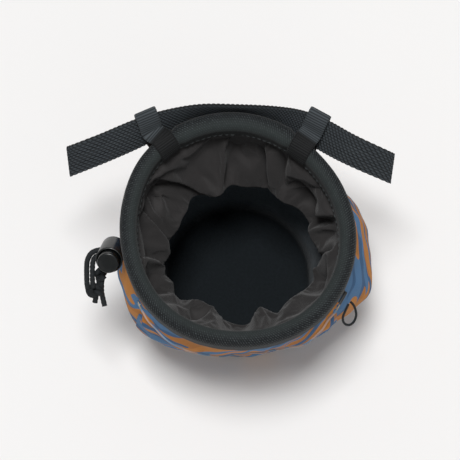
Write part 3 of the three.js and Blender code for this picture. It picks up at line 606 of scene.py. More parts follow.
button = turned_piece("lock_button_cap", BUTTON_RADIUS, LOCK_TOP - BUTTON_FOOT, LOCK_TOP + BUTTON_RISE)
select_faces(button, lambda middle, normal: normal.z > 0.9)
bpy.ops.mesh.inset(thickness=1.2 * MM, depth=0)
bpy.ops.mesh.inset(thickness=0.8 * MM, depth=-0.35 * MM)
bpy.ops.mesh.inset(thickness=1.2 * MM, depth=0.1 * MM)
bpy.ops.object.mode_set(mode="OBJECT")
bevel_edges(button, 0.8, 4)
for part in (barrel, button):
    part.data.transform(lock_matrix())
    make_active(part)
    bpy.ops.object.shade_smooth_by_angle(angle=math.radians(35))
print("lock at", [round(value, 1) for value in LOCK_SPOT])

# %% [markdown]
# ## Printed wall
# The wall is one length of printed cloth, sewn to a ring. It follows the same table as the solid wall, with
# the finer life of cloth added: shallow waves that run down from the binding's seam, and a crumple like that
# of a bag that has been packed flat.
# %% Wall of the bag
@lru_cache(maxsize=None)
def belly_out(azimuth):
    return read_table(BELLY_OUTLINE, azimuth, turn=360)


@lru_cache(maxsize=None)
def wall_share(level):
    return read_table(WALL_PROFILE, level, 1), read_table(WALL_PROFILE, level, 2)


def wall_level(azimuth, z):
    return min(1, max(0, (z - SHELL_LIFT) / (neck_height(azimuth) - SHELL_LIFT)))


def wall_radius(azimuth, z, stand=True):
    """Radius of the solid wall's outer face. Without `stand`, what stands out is left out."""
    level = wall_level(azimuth, z)
    rise, belly = wall_share(level)
    out = RIM_RADIUS * belly * belly_out(azimuth)
    fold = 0
    for place, spread, height, reach, depth in WALL_FOLDS:
        near = bump_at(turn_between(azimuth, place), 0, spread)
        fold += RIM_RADIUS * depth * near * bump_at(level, height, reach)
    fold *= smooth(0, 0.1, level) * (1 - smooth(0.93, 1, level))
    extra = out + fold if stand else min(0, out) + min(0, fold)
    return BASE_RADIUS + rise * (rim_radius(azimuth) - SHELL_FACE - BASE_RADIUS) + extra


WALL_TOP_DROP = 3.3  # from the rim's ridge down to the wall's hidden top edge
NECK_SHARE = 0.92  # of the wall's rows that lie below the neck
FLAT_PLACES = [(206, 10, -0.8), (265, 35, -1), (328, 13, -0.8)]  # azimuth, spread, millimetres out


def crumple(azimuth, z):
    """The cloth's small waves in millimetres, none at the binding and the base."""
    level = wall_level(azimuth, z)
    held = smooth(0, 0.12, level) * (1 - smooth(0.9, 1, level))
    at = polar(3.2, azimuth, z / 26)
    waves = noise.noise(at * 0.9) * 1.5 + noise.noise(at * 2.1 + Vector((5, 0, 0))) * 0.7
    hanging = noise.noise(polar(8, azimuth, z / 60)) * 1.1 * smooth(0.3, 0.8, level)
    flatter = 0
    for place, spread, out in FLAT_PLACES:
        flatter += out * bump_at(turn_between(azimuth, place), 0, spread)
    return held * (waves + hanging + flatter)


def wall_face(azimuth, z):
    return wall_radius(azimuth, z) + crumple(azimuth, z)


def wall_place(u, v):
    azimuth = 90 + 360 * u
    neck = neck_height(azimuth)
    top = ridge_height(azimuth) - WALL_TOP_DROP
    below = min(1, v / NECK_SHARE)
    above = max(0, (v - NECK_SHARE) / 0.08)
    z = SHELL_LIFT + (neck - SHELL_LIFT) * below + (top - neck) * above
    return polar(wall_face(azimuth, z), azimuth, z)


wall = plain_cloth("printed_wall", 288, 75, wall_place, (380, 135), ring=True)
turn_faces(wall)
thicken(wall, 1.5)
print("wall of", len(wall.data.polygons), "faces")

# %% [markdown]
# ## Base
# A round of coated cloth closes the bucket. It is a thin disc with a soft edge, made from a cylinder.
# %% Base
base = turned_piece("base_round", BASE_RADIUS - 1.9, 0, 2.4, 96)
bevel_edges(base, 0.5, 2)
bpy.ops.object.shade_smooth_by_angle(angle=math.radians(35))

# %% [markdown]
# ## Zip pocket
# The pocket is a second panel of the print on the front, and a zip in a wide arc closes it under a flap. The
# flap's edge is rolled and shows as a pale line, which is a painted highlight. All of them lie on the wall's
# own shape, each a little further out, and at both ends the sewn corner pulls the cloth into small gathers.
# %% Zip line and gathers
POCKET_LEFT = 214
POCKET_RIGHT = 326
POCKET_DIP = 23  # of the zip's arc, below its two ends
POCKET_FOOT = 16  # of the pocket's lower seam above the ground
FLAP_LEAST = 6  # height of the flap over the zip at its two ends


def zip_height(azimuth):
    share = min(1, max(0, (azimuth - POCKET_LEFT) / (POCKET_RIGHT - POCKET_LEFT)))
    return neck_height(azimuth) - FLAP_LEAST - POCKET_DIP * math.sin(math.pi * share) ** 1.1


def gathers(azimuth, z):
    """Small folds that run out from the zip's two sewn corners."""
    depth = 0
    for corner, spread in ((POCKET_LEFT, 15), (POCKET_RIGHT, 15)):
        across = math.radians(turn_between(azimuth, corner)) * 68
        down = z - zip_height(corner)
        away = math.hypot(across, down)
        angle = math.atan2(down, across)
        near = smooth(0, 3, away) * bump_at(away, 6, spread)
        depth += near * (0.8 * math.sin(9 * angle + corner) + 0.5 * math.sin(17 * angle + 2))
    return depth


def pocket_swell(azimuth, z):
    """The pleats that stand out below the zip at both ends."""
    below = zip_height(azimuth) - z
    left = 3.2 * bump_at(azimuth, 220, 5) * bump_at(below, 9, 7)
    right = 2.4 * bump_at(azimuth, 318, 5) * bump_at(below, 10, 8)
    middle = 1.6 * bump_at(azimuth, 262, 34) * bump_at(below, 8, 6)
    soft = 0.8 * noise.noise(Vector((azimuth / 9, z / 9, 11)))
    return left + right + middle + soft


def under_flap(azimuth, z):
    """How deep a place lies in the hollow under the flap's edge, from 0 to 1. It sets the dip and the painted shade
    there.
    """
    return bump_at(zip_height(azimuth) - z, 1.5, 2.6)


# %% [markdown]
# The tape, the pocket and the flap are panels of cloth on the wall. Each is given by the azimuths of its two
# ends, a height for its lower and upper edges, and how far it stands off the wall. The pocket dips under the
# flap's edge, and painted shade darkens the print in that hollow.
# %% Zip tape, pocket, flap
def panel(name, azimuths, low, high, stand, columns, rows, flat, hollow=None):
    first, last = azimuths

    def place(u, v):
        azimuth = first + (last - first) * u
        z = low(azimuth) + (high(azimuth) - low(azimuth)) * v
        return polar(wall_face(azimuth, z) + stand(azimuth, z, u, v), azimuth, z)

    # The relief holds the painted shade that darkens the print in the hollow under the flap.
    def relief(u, v):
        azimuth = first + (last - first) * u
        return 1 - hollow(azimuth, low(azimuth) + (high(azimuth) - low(azimuth)) * v)

    return plain_cloth(name, columns, rows, place, flat, relief=relief if hollow else None)


tape = panel(
    "zip_tape_cloth", (POCKET_LEFT, POCKET_RIGHT + 8),
    lambda azimuth: zip_height(azimuth) - 4, lambda azimuth: zip_height(azimuth) + 4,
    lambda azimuth, z, u, v: 0.9, 160, 10, (142, 8),
)
thicken(tape, 0.7)


def pocket_stand(azimuth, z, u, v):
    edge = smooth(0, 0.05, u) * (1 - smooth(0.95, 1, u)) * smooth(0, 0.08, v)
    return 0.8 + edge * (0.3 + pocket_swell(azimuth, z) + gathers(azimuth, z)) - 0.9 * under_flap(azimuth, z)


pocket = panel(
    "pocket_front", (POCKET_LEFT + 1, POCKET_RIGHT - 1),
    lambda azimuth: POCKET_FOOT, lambda azimuth: zip_height(azimuth) - 1.5,
    pocket_stand, 200, 70, (135, 90), hollow=under_flap,
)
turn_faces(pocket)
thicken(pocket, 0.9)


def flap_stand(azimuth, z, u, v):
    return 3.0 - 2.0 * smooth(0.1, 1, v) + 0.6 * gathers(azimuth, z) * (1 - v)


flap = panel(
    "pocket_flap_cloth", (POCKET_LEFT - 1, POCKET_RIGHT),
    zip_height, lambda azimuth: ridge_height(azimuth) - BINDING_DEPTH + 2,
    flap_stand, 200, 24, (140, 22),
)
turn_faces(flap)
thicken(flap, 0.9)
print("pocket, flap and tape on the wall")

# %% [markdown]
# The flap's lower edge is cloth rolled over a thin core, and its print is painted paler than the rest, as a
# painted highlight on its roundness. It could be a bevel on the flap, but as a cord of its own it keeps an even
# roundness along the whole arc.
# %% Rolled edge of the flap
edge_stops = []
for step in range(57):
    azimuth = POCKET_LEFT - 1 + (POCKET_RIGHT - POCKET_LEFT + 1) * step / 56
    z = zip_height(azimuth)
    edge_stops.append(polar(wall_face(azimuth, z) + flap_stand(azimuth, z, 0, 0) - 0.2, azimuth, z - 0.3))
rolled_edge = cord_piece("flap_rolled_edge", edge_stops, 1.9, 260, 12)[0]
print("rolled edge of", len(rolled_edge.data.polygons), "faces")

# %% [markdown]
# The zip is a nylon coil, and only its right end shows past the flap. The coil is a thin cord that goes from
# side to side. The slider is a small casting: a cube, scaled to size, narrowed at its ends and bevelled.
# %% Zip teeth and slider
tooth_stops = []
for step in range(60):
    azimuth = POCKET_RIGHT - 6 + 13 * step / 59
    z = zip_height(azimuth) - 0.4
    tooth_stops.append(polar(wall_face(azimuth, z) + 1.15, azimuth, z))
tooth_line = curve_through(tooth_stops, 60)[0]
coil_stops = []
for step, point in enumerate(tooth_line):
    along = (tooth_line[min(59, step + 1)] - tooth_line[max(0, step - 1)]).normalized()
    out = Vector((point.x, point.y, 0)).normalized()
    coil_stops.append(point + along.cross(out) * 1.1 * (1 if step % 2 else -1) + out * 0.1)
teeth = cord_piece("zip_coil", coil_stops, 0.55, 420, 8)[0]

SLIDER_AZIMUTH = POCKET_RIGHT + 4
slider_z = zip_height(SLIDER_AZIMUTH) - 2.8
slider_out = polar(1, SLIDER_AZIMUTH, 0)
slider_middle = polar(wall_face(SLIDER_AZIMUTH, slider_z) + 2.4, SLIDER_AZIMUTH, slider_z)
bpy.ops.object.select_all(action="DESELECT")
bpy.ops.mesh.primitive_cube_add(size=1)
slider = bpy.context.object
slider.name = "zip_slider_body"
slider.data.transform(Matrix.Diagonal((8 * MM, 5 * MM, 2.2 * MM, 1)))
select_faces(slider, lambda middle, normal: abs(normal.x) > 0.9)
bpy.ops.transform.resize(value=(1, 0.62, 0.8))
bpy.ops.object.mode_set(mode="OBJECT")
bevel_edges(slider, 0.5, 3)
slider_along = UP.cross(slider_out)
slider_turn = Matrix((slider_along, UP, slider_out)).transposed().to_4x4()
slider.data.transform(Matrix.Translation(slider_middle * MM) @ slider_turn)
bpy.ops.object.shade_smooth_by_angle(angle=math.radians(35))
print("slider at", [round(value, 1) for value in slider_middle])

# %% [markdown]
# ## Rim binding
# A wide twill tape is folded over a stiffener and the top edges of all the walls, and sewn through below.
# A grid is bent over the rim as an arch with two legs, and gets the tape's thickness. A soft wave along the
# legs keeps it from looking turned on a lathe.
# %% Rim binding
BINDING_FULLER = 0.9  # by which the tape stands higher between the two belt loops


def binding_section(v):
    """Across the tape: the outer leg, the arch over the ridge, the inner leg."""
    half = RIM_WIDTH / 2
    leg = 0.3
    if v < leg:
        return half, -BINDING_DEPTH + (BINDING_DEPTH - BINDING_SHOULDER) * v / leg
    if v > 1 - leg:
        return -half, -BINDING_DEPTH + (BINDING_DEPTH - BINDING_SHOULDER) * (1 - v) / leg
    angle = math.pi * (v - leg) / (1 - 2 * leg)
    return half * math.cos(angle), BINDING_SHOULDER * (math.sin(angle) - 1)


def binding_place(u, v):
    azimuth = 90 + 360 * u
    across, up = binding_section(v)
    wave = 0.5 * noise.noise(polar(9, azimuth, 2)) * smooth(-3, -BINDING_DEPTH, up)
    twist = 0.4 * noise.noise(polar(2, azimuth, 7))
    azimuth = azimuth % 360
    raised = smooth(60, 63, azimuth) * (1 - smooth(121, 124, azimuth))
    radius = rim_radius(azimuth) - RIM_WIDTH / 2 + across * (1 + wave / 8 + 0.16 * raised)
    fuller = BINDING_FULLER * raised
    return polar(radius, azimuth, ridge_height(azimuth) + up + twist * smooth(-12, 0, up) + fuller)


binding = plain_cloth("rim_binding_tape", 288, 40, binding_place, (390, 32), ring=True)
turn_faces(binding)
thicken(binding, 1.3)

# %% [markdown]
# ## Closure skirt
# The skirt is a straight band of thin cloth as long as the rim is round. Its top edge is sewn under the
# binding and its hem is drawn in by the cord, so there is more cloth than room and it falls in folds. A
# table of the hem's folds, read from above, gives the hem's line.
# %% Hem of the skirt
HEM_RADIUS = 38
SKIRT_DROP = 56
SKIRT_HELD = 10 / 53
HEM_FOLDS = [  # azimuth, share of the hem's radius, lift
    (12, 1.03, 0.1), (22, 1.08, 0.02), (32, 1.04, 0.08), (46, 0.9, 0.16), (64, 0.96, 0.06),
    (81, 0.93, 0.02), (97, 0.9, 0.1), (113, 0.83, 0.16), (130, 1.01, 0.02), (146, 0.9, 0.12),
    (161, 0.89, 0.14), (174, 1.04, 0.03), (184, 1, 0.12), (194, 1.15, 0.02), (207, 1.04, 0.1),
    (217, 1.1, 0.02), (231, 0.93, 0.14), (246, 0.92, 0.16), (257, 1.01, 0.04), (278, 1.05, 0.02),
    (290, 0.88, 0.15), (303, 1.07, 0.03), (320, 1.04, 0.1), (338, 1.15, 0.04), (346, 1.12, 0.08),
    (353, 1.29, 0.02), (359, 1.18, 0.08),
]


@lru_cache(maxsize=None)
def hem_at(azimuth):
    return read_table(HEM_FOLDS, azimuth, 1, 360), read_table(HEM_FOLDS, azimuth, 2, 360)


SKIRT_FOLDS = [  # azimuth at the top, at the hem, spread, level, reach, millimetres inwards, its steep side
    (150, 118, 9, 0.6, 0.5, 5, 1), (153, 150, 12, 0.75, 0.42, -8, 0), (157, 180, 8, 0.55, 0.45, 5, -1),
    (184, 187, 2.6, 0.5, 0.5, -3.5, 0), (193, 195, 6, 0.55, 0.5, 4, -1), (205, 208, 7, 0.5, 0.3, -6, 0),
    (214, 216, 7, 0.6, 0.4, 3.5, -1), (236, 242, 10, 0.78, 0.16, -6, 1), (262, 262, 12, 0.5, 0.3, 2, 0),
    (282, 284, 6, 0.8, 0.3, 2.5, 1), (310, 312, 13, 0.6, 0.4, 2.5, 0), (338, 340, 6, 0.7, 0.3, -3, 0),
    (352, 352, 5, 0.6, 0.5, 3, 1), (358, 372, 3.2, 0.4, 0.5, -4.5, 0), (361, 376, 3.5, 0.45, 0.5, 3, 0),
    (364, 381, 4.5, 0.4, 0.5, -6, 0), (373, 386, 8, 0.35, 0.4, 4, -1), (398, 396, 11, 0.82, 0.26, -6.5, 0),
    (415, 408, 9, 0.35, 0.35, 3.5, 0), (426, 410, 5, 0.35, 0.4, -5, 1), (435, 421, 6, 0.5, 0.5, 3.5, 1),
    (444, 425, 3, 0.5, 0.6, -5, 1), (449, 450, 5, 0.35, 0.4, -4.5, 0), (454, 466, 6, 0.5, 0.4, 5, -1),
    (457, 457, 7, 0.95, 0.25, -4, 0), (487, 470, 12, 0.3, 0.35, 2.5, 0),
]


def fold_depth(azimuth, free):
    """How far inwards the folds bring the cloth, in millimetres."""
    depth = 0
    for top, hem, spread, level, reach, inwards, steep in SKIRT_FOLDS:
        aside = turn_between(azimuth, top + (hem - top) * free)
        if abs(aside) < 3 * spread:
            width = spread * (0.35 if aside * steep > 0 else 1)
            depth += inwards * bump_at(aside, 0, width) * bump_at(free, level, reach)
    return 1.35 * depth * smooth(0, 0.14, free) * (1 - 0.75 * smooth(0.8, 1, free))


def skirt_place(u, v):
    azimuth = 90 + 360 * u
    share = 1 - v
    top = rim_radius(azimuth % 360) - SKIRT_INSIDE
    free = max(0, (share - SKIRT_HELD) / (1 - SKIRT_HELD))
    hem_share, lift = hem_at(azimuth % 360)
    even = top + (HEM_RADIUS - top) * free ** 1.25
    gathered = HEM_RADIUS * (hem_share - 1) * smooth(0, 1, free) * (0.35 + 0.65 * free)
    drop = 3.3 + share * (SKIRT_DROP - 3)
    z = ridge_height(azimuth % 360) - drop + SKIRT_DROP * lift * free ** 2
    crease = noise.noise(polar(2.6, azimuth, share * 2)) * 1.6 * smooth(0.1, 0.6, free)
    return polar(even + gathered + crease - fold_depth(azimuth, free), azimuth, z)


skirt = plain_cloth("gathered_skirt", 400, 60, skirt_place, (352, 62), ring=True)
turn_faces(skirt, inside=True)

# %% [markdown]
# Where cloth has more length than room, its smaller folds are found best by a cloth simulation. The table's
# folds are where the skirt starts. Then the cloth grows a little towards the hem, so that there is spare
# cloth, as in the real band. The sewn top and the hem on its drawcord are held, and in twenty frames the
# spare cloth between them buckles. It is done at twenty times the size, where the cloth's usual stiffness
# suits the folds. The settled places are read back, and the modifier and its groups are taken away.
# %% Settle the skirt
SETTLE_FRAMES = 20
SETTLE_SCALE = 20
SPARE_CLOTH = 0.12
SKIRT_ROOM = 6.2  # from the wall's outer face in to where the skirt may reach


def settle_skirt(piece):
    make_active(piece)
    shares = [0.0] * len(piece.data.vertices)
    for corner, place in zip(piece.data.loops, piece.data.uv_layers.active.data):
        shares[corner.vertex_index] = place.uv[1] / 0.062
    start = [vertex.co.copy() for vertex in piece.data.vertices]
    held = piece.vertex_groups.new(name="held")
    as_cut = piece.vertex_groups.new(name="as cut")
    for i, share in enumerate(shares):
        piece.data.vertices[i].co = start[i] * SETTLE_SCALE
        as_cut.add([i], smooth(0.2, 0.85, share), "REPLACE")
        if share > 0.8 or share < 0.01:
            held.add([i], 1.0, "REPLACE")
    cloth = piece.modifiers.new("Cloth", "CLOTH")
    setting = cloth.settings
    setting.quality = 5
    setting.bending_stiffness = 0.5
    setting.effector_weights.gravity = 0
    setting.vertex_group_mass = held.name
    setting.vertex_group_shrink = as_cut.name
    setting.shrink_min = -SPARE_CLOTH
    setting.shrink_max = 0
    cloth.collision_settings.use_collision = False
    cloth.point_cache.frame_start = 1
    cloth.point_cache.frame_end = SETTLE_FRAMES
    for moment in range(1, SETTLE_FRAMES + 1):
        bpy.context.scene.frame_set(moment)
    settled = piece.evaluated_get(bpy.context.evaluated_depsgraph_get())
    places = [vertex.co / SETTLE_SCALE for vertex in settled.data.vertices]
    bpy.context.scene.frame_set(1)
    piece.modifiers.remove(cloth)
    piece.vertex_groups.clear()
    moved = [(place - before).length / MM for place, before in zip(places, start)]
    average = sum(moved) / len(moved)
    print("the cloth moved", round(average, 2), "mm on average,", round(max(moved), 1), "at most")
    for vertex, place in zip(piece.data.vertices, places):
        azimuth = math.degrees(math.atan2(place.y, place.x)) % 360
        level = min(place.z / MM, neck_height(azimuth))
        lining = wall_radius(azimuth, level, False) - SKIRT_ROOM
        room = min(lining, rim_radius(azimuth) - SKIRT_INSIDE) * MM
        if place.xy.length > room:
            place.xy *= room / place.xy.length
        vertex.co = place


settle_skirt(skirt)
thicken(skirt, 0.9)
print("skirt of", len(skirt.data.polygons), "faces")

# %% [markdown]
# ## Fleece cup
# Down inside is a cup of deep black fleece that holds the chalk. It is seen only in the dark, so it is a
# plain cup with a soft uneven pile.
# %% Fleece cup
CUP_RADIUS = 41  # of the cup's floor
CUP_FLOOR = 4.6
CUP_WALL_FOOT = 8.6  # where the cup's wall starts, above its rounded corner


def fleece_place(u, v):
    azimuth = 90 + 360 * u
    if v < 0.3:
        radius = 0.02 + CUP_RADIUS * v / 0.3
        corner = 4 * smooth(26, CUP_RADIUS, radius)
        return polar(radius, azimuth, CUP_FLOOR + corner + 0.8 * noise.noise(polar(radius / 9, azimuth, 0)))
    level = (v - 0.3) / 0.7
    z = CUP_WALL_FOOT + level * (neck_height(azimuth) + 8 - CUP_WALL_FOOT)
    pile = 0.4 * noise.noise(polar(9, azimuth, z / 5))
    inset = SHELL_THICKNESS + LINING_EASE + LINING_THICKNESS
    radius = wall_radius(azimuth, min(z, neck_height(azimuth)), False) - inset - pile
    return polar(min(radius, CUP_RADIUS + level * 60), azimuth, z)


fleece = plain_cloth("fleece_cup", 180, 60, fleece_place, (370, 180), ring=True)
turn_faces(fleece, inside=True)
thicken(fleece, 1.6)
print("fleece cup of", len(fleece.data.polygons), "faces")

# %% [markdown]
# ## Belt
# The belt is heavy webbing with a coarse basket weave, whose bumps show at the edges too. The weave is cut
# into a fine grid: each bump is a small dome, and every other row is set half a step along. The belt
# passes behind the rim through the loops, and leans outwards where its ends spread.
# %% Belt
BELT_WIDTH = 20
BELT_THICKNESS = 2
BELT_ROUTE = [  # x and y as shares of the rim's radius, rise in belt widths, lean in degrees
    (-1.444, 0.6, -0.43, 34), (-1.143, 0.714, -0.38, 33), (-0.852, 0.83, -0.27, 31),
    (-0.603, 0.935, -0.28, 19), (-0.317, 1.015, -0.37, 8), (0, 1.032, -0.43, 2),
    (0.286, 0.995, -0.38, 10), (0.508, 0.925, -0.32, 25), (0.706, 0.822, -0.31, 38),
    (0.952, 0.695, -0.38, 37), (1.302, 0.541, -0.43, 34),
]
BELT_ROWS = [(place, *row) for place, row in enumerate(BELT_ROUTE)]


def belt_middle(along):
    x, y = (RIM_RADIUS * read_table(BELT_ROWS, along, column) for column in (1, 2))
    point = Vector((x, y, 0))
    point.z = mouth_height(point) + BELT_WIDTH * read_table(BELT_ROWS, along, 3)
    return point


@lru_cache(maxsize=None)
def belt_frame(along):
    ahead = belt_middle(min(len(BELT_ROUTE) - 1, along + 0.02))
    direction = (ahead - belt_middle(max(0, along - 0.02))).normalized()
    back = Vector((-direction.y, direction.x, 0)).normalized()
    lean = math.radians(read_table(BELT_ROWS, along, 4))
    width = UP * math.cos(lean) + back * math.sin(lean)
    return belt_middle(along), direction, width, width.cross(direction).normalized()


BELT_LENGTH = sum((belt_middle(i / 20 + 0.05) - belt_middle(i / 20)).length for i in range(200))


DOME_LENGTH = 2.3
DOME_WIDTH = 1.667


def webbing_bump(along_mm, across_mm):
    """Height of the basket weave's domes, from 0 to 1."""
    row = math.floor(across_mm / DOME_WIDTH)
    y = (across_mm / DOME_WIDTH) % 1
    x = (along_mm / DOME_LENGTH + (0.5 if row % 2 else 0) + (y - 0.5) * 0.45) % 1
    return (math.sin(math.pi * x) * math.sin(math.pi * y)) ** 0.6


def belt_place(u, v):
    """v runs round the belt's section: the front, the top edge, the back, the bottom edge."""
    along = u * (len(BELT_ROUTE) - 1)
    middle, direction, width, normal = belt_frame(along)
    side = v * 4
    if side < 1.9:
        across, out = (side / 1.9) * 2 - 1, -1
    elif side < 2:
        across, out = 1, (side - 1.9) / 0.1 * 2 - 1
    elif side < 3.9:
        across, out = 1 - (side - 2) / 1.9 * 2, 1
    else:
        across, out = -1, 1 - (side - 3.9) / 0.1 * 2
    length = u * BELT_LENGTH
    bump = webbing_bump(length, (across + 1) * BELT_WIDTH / 2)
    thick = (BELT_THICKNESS / 2) * (0.25 + 0.85 * bump)
    edge = 0.5 * webbing_bump(length, 0.7) * smooth(0.93, 1, abs(across))
    point = middle + width * across * (BELT_WIDTH / 2 - 0.3 + edge) + normal * out * thick
    if u in (0, 1):
        point = middle + (point - middle) * 0.98
    slant = direction.y / direction.x
    near_end = 1 - smooth(0, 0.04, min(u, 1 - u))
    aside = (point.y - middle.y) * slant / (1 + slant * slant)
    return point + direction * aside * near_end


# Painted shade: the hollows between the weave's domes are painted dark by the finish.
def belt_painted_shade(u, v):
    side = v * 4
    across = (side / 1.9) * 2 - 1 if side < 1.9 else 1 - (side - 2) / 1.9 * 2
    return webbing_bump(u * BELT_LENGTH, (max(-1, min(1, across)) + 1) * BELT_WIDTH / 2)


webbing = plain_cloth(
    "belt_webbing_strip", 720, 120, belt_place, (BELT_LENGTH, 44), ring=True, relief=belt_painted_shade
)


def cap_ends(piece):
    """Close the open holes of a tube, each with its own face."""
    make_active(piece)
    bpy.ops.object.mode_set(mode="EDIT")
    bpy.ops.mesh.select_mode(type="EDGE")
    bpy.ops.mesh.select_all(action="DESELECT")
    bpy.ops.mesh.select_non_manifold()
    bpy.ops.mesh.fill_holes(sides=0)
    bpy.ops.object.mode_set(mode="OBJECT")


cap_ends(webbing)
turn_faces(webbing)
print("belt", round(BELT_LENGTH), "mm long,", len(webbing.data.polygons), "faces")

# %% [markdown]
# ## Belt loops
# Two loops of ribbed ribbon come from inside the rim, over it and round the belt, and are sewn to the wall
# behind. Each is a ribbon along a smooth line of stops. Its width turns from the rim's direction to the
# belt's, and the ribs run across it, one every 1.35 mm.
# %% Belt loops
BELT_LOOPS = [("ribbon_loop_left", 130.5, 127, 2.42), ("ribbon_loop_right", 53, 59, 7.62)]
LOOP_WIDTH = 12
LOOP_THICKNESS = 1.2
LOOP_EASE = 1.5  # between a loop and the belt, or the wall that it is sewn to
LOOP_FOOT = 11  # from the binding's lower edge down to where a loop is sewn to the wall
RIB_PITCH = 1.35


def loop_stops(azimuth, heading, along):
    """Stops of the ribbon's middle, each with the way that its width runs."""
    half = LOOP_THICKNESS / 2
    out = polar(1, heading, 0)
    ridge = polar(rim_radius(azimuth) - RIM_WIDTH / 2, azimuth, ridge_height(azimuth))
    rim_way = polar(1, azimuth + 90, 0)
    rim_way.z = TILT_SLOPE * rim_way.y
    middle, direction, width, normal = belt_frame(along)
    clear = half + LOOP_EASE + BELT_THICKNESS / 2
    edge = half + LOOP_EASE + BELT_WIDTH / 2
    beside = RIM_WIDTH / 2 + half + 0.3
    sewn = -BINDING_DEPTH - LOOP_FOOT
    foot = wall_radius(azimuth, ridge.z + sewn) - ridge.xy.length + half + LOOP_EASE

    def at_rim(outward, up):
        return ridge + out * outward + UP * up, rim_way

    def at_belt(across, back):
        return middle + width * across * edge + normal * back * clear, -direction

    return [
        at_rim(-beside - 0.2, -9), at_rim(-beside - 0.1, -4.5), at_rim(-beside * 0.66, -0.9),
        at_rim(0, half + 0.1), at_rim(beside * 0.66, -0.2), at_belt(0.1, -1.3), at_belt(0.6, -1.1),
        at_belt(1, -0.5), at_belt(1, 0.5), at_belt(0.7, 1), at_belt(0, 1), at_belt(-0.6, 1),
        at_rim(foot + 1.5, sewn + 6), at_rim(foot, sewn),
    ]


def ribbon_loop(name, azimuth, heading, along):
    stops = loop_stops(azimuth, heading, along)
    count = 420
    middles, length = curve_through([stop for stop, way in stops], count)
    ways = curve_through([way * 10 for stop, way in stops], count)[0]
    half = LOOP_THICKNESS / 2

    def place(u, v):
        i = round(u * (count - 1))
        tangent = (middles[min(count - 1, i + 1)] - middles[max(0, i - 1)]).normalized()
        across = (ways[i] - tangent * ways[i].dot(tangent)).normalized()
        face = across.cross(tangent)
        side = v * 4
        if side < 1.8:
            w, out = (side / 1.8) * 2 - 1, -1
        elif side < 2:
            w, out = 1, (side - 1.8) / 0.2 * 2 - 1
        elif side < 3.8:
            w, out = 1 - (side - 2) / 1.8 * 2, 1
        else:
            w, out = -1, 1 - (side - 3.8) / 0.2 * 2
        rib = abs(math.sin(math.pi * u * length / RIB_PITCH)) ** 0.7
        round_edge = 1 - 0.45 * smooth(0.86, 1, abs(w))
        thick = (half - 0.3 + 0.3 * rib) * round_edge
        return middles[i] + across * (LOOP_WIDTH / 2 - 0.15 + 0.15 * rib) * w + face * thick * out

    # Painted shade: the grooves between the ribs are painted dark, and the part of the loop that lies on the rim is
    # painted nearly black.
    def rib_painted_shade(u, v):
        on_rim = 1 - smooth(0.25, 0.29, u)
        return abs(math.sin(math.pi * u * length / RIB_PITCH)) * (1 - 0.93 * on_rim)

    ribbon = plain_cloth(name, count - 1, 32, place, (length, 2 * LOOP_WIDTH), ring=True, relief=rib_painted_shade)
    cap_ends(ribbon)
    turn_faces(ribbon)
    return ribbon


loops = [ribbon_loop(*row) for row in BELT_LOOPS]
print("loops:", [len(loop.data.polygons) for loop in loops], "faces")

# %% [markdown]
# ## Stitches
# The binding is sewn down with a running stitch near the lower edge of its inner leg, and bar tacks, which
# are short dense zigzags, hold the two corners of the pocket. The running stitch is one thread that rises
# above the tape and dips into it. A bar tack is a thread that goes to and fro.
# %% Stitches
STITCH_LENGTH = 3.2
THREAD = 0.5
seam_stops = []
seam_count = round(2 * math.pi * (RIM_RADIUS - RIM_WIDTH) / STITCH_LENGTH) * 2
for step in range(seam_count):
    azimuth = (92 + 356 * step / (seam_count - 1)) % 360
    raised = 0.25 if step % 2 else -0.35
    spot = binding_place((azimuth - 90) / 360, 0.93)
    seam_stops.append(spot - polar(raised, azimuth, 0))
seam_thread = cord_piece("binding_seam_thread", seam_stops, THREAD, seam_count * 5, 6)[0]


def bar_tack(name, azimuth, length, width, turn):
    """A zigzag of thread on the flap's corner, `turn` degrees from upright."""
    stops = []
    for step in range(2 * round(length / THREAD) + 1):
        along = length * (step / (2 * round(length / THREAD)) - 0.5)
        aside = width / 2 * (1 if step % 2 else -1)
        angle = math.radians(turn)
        side = aside * math.cos(angle) - along * math.sin(angle)
        up = aside * math.sin(angle) + along * math.cos(angle)
        at = azimuth + math.degrees(side / 66)
        z = zip_height(azimuth) + 0.8 + up
        stops.append(polar(wall_face(at, z) + flap_stand(at, z, 0, 0) + 0.25, at, z))
    return cord_piece(name, stops, THREAD, len(stops) * 8, 6)[0]


tacks = [
    bar_tack("bar_tack_left", POCKET_LEFT + 1, 6, 2.4, 25),
    bar_tack("bar_tack_right", POCKET_RIGHT - 2, 6, 2.4, -25),
]
tack_faces = [len(tack.data.polygons) for tack in tacks]
print("seam of", len(seam_thread.data.polygons), "faces, tacks of", tack_faces)

# %% [markdown]
# ## Materials
# Every finish is built from nodes and real sizes. The weave is drawn on each piece's UV map, which is in
# metres of cloth, so its threads are as fine as the real ones. Slow noise makes one place a little paler or
# duller than the next, as handling does.
# %% Helpers for materials
def from_hex(code):
    """A colour as it is named on screen, made linear for the shader."""
    values = [int(code[i:i + 2], 16) / 255 for i in (0, 2, 4)]
    return (*[v / 12.92 if v <= 0.04045 else ((v + 0.055) / 1.055) ** 2.4 for v in values], 1)


def new_finish(name, roughness, sheen=0.0, shine=0.15):
    finish = bpy.data.materials.new(name)
    finish.use_nodes = True
    shader = finish.node_tree.nodes["Principled BSDF"]
    shader.inputs["Roughness"].default_value = roughness
    shader.inputs["Sheen Weight"].default_value = sheen
    shader.inputs["Specular IOR Level"].default_value = shine
    return finish, shader


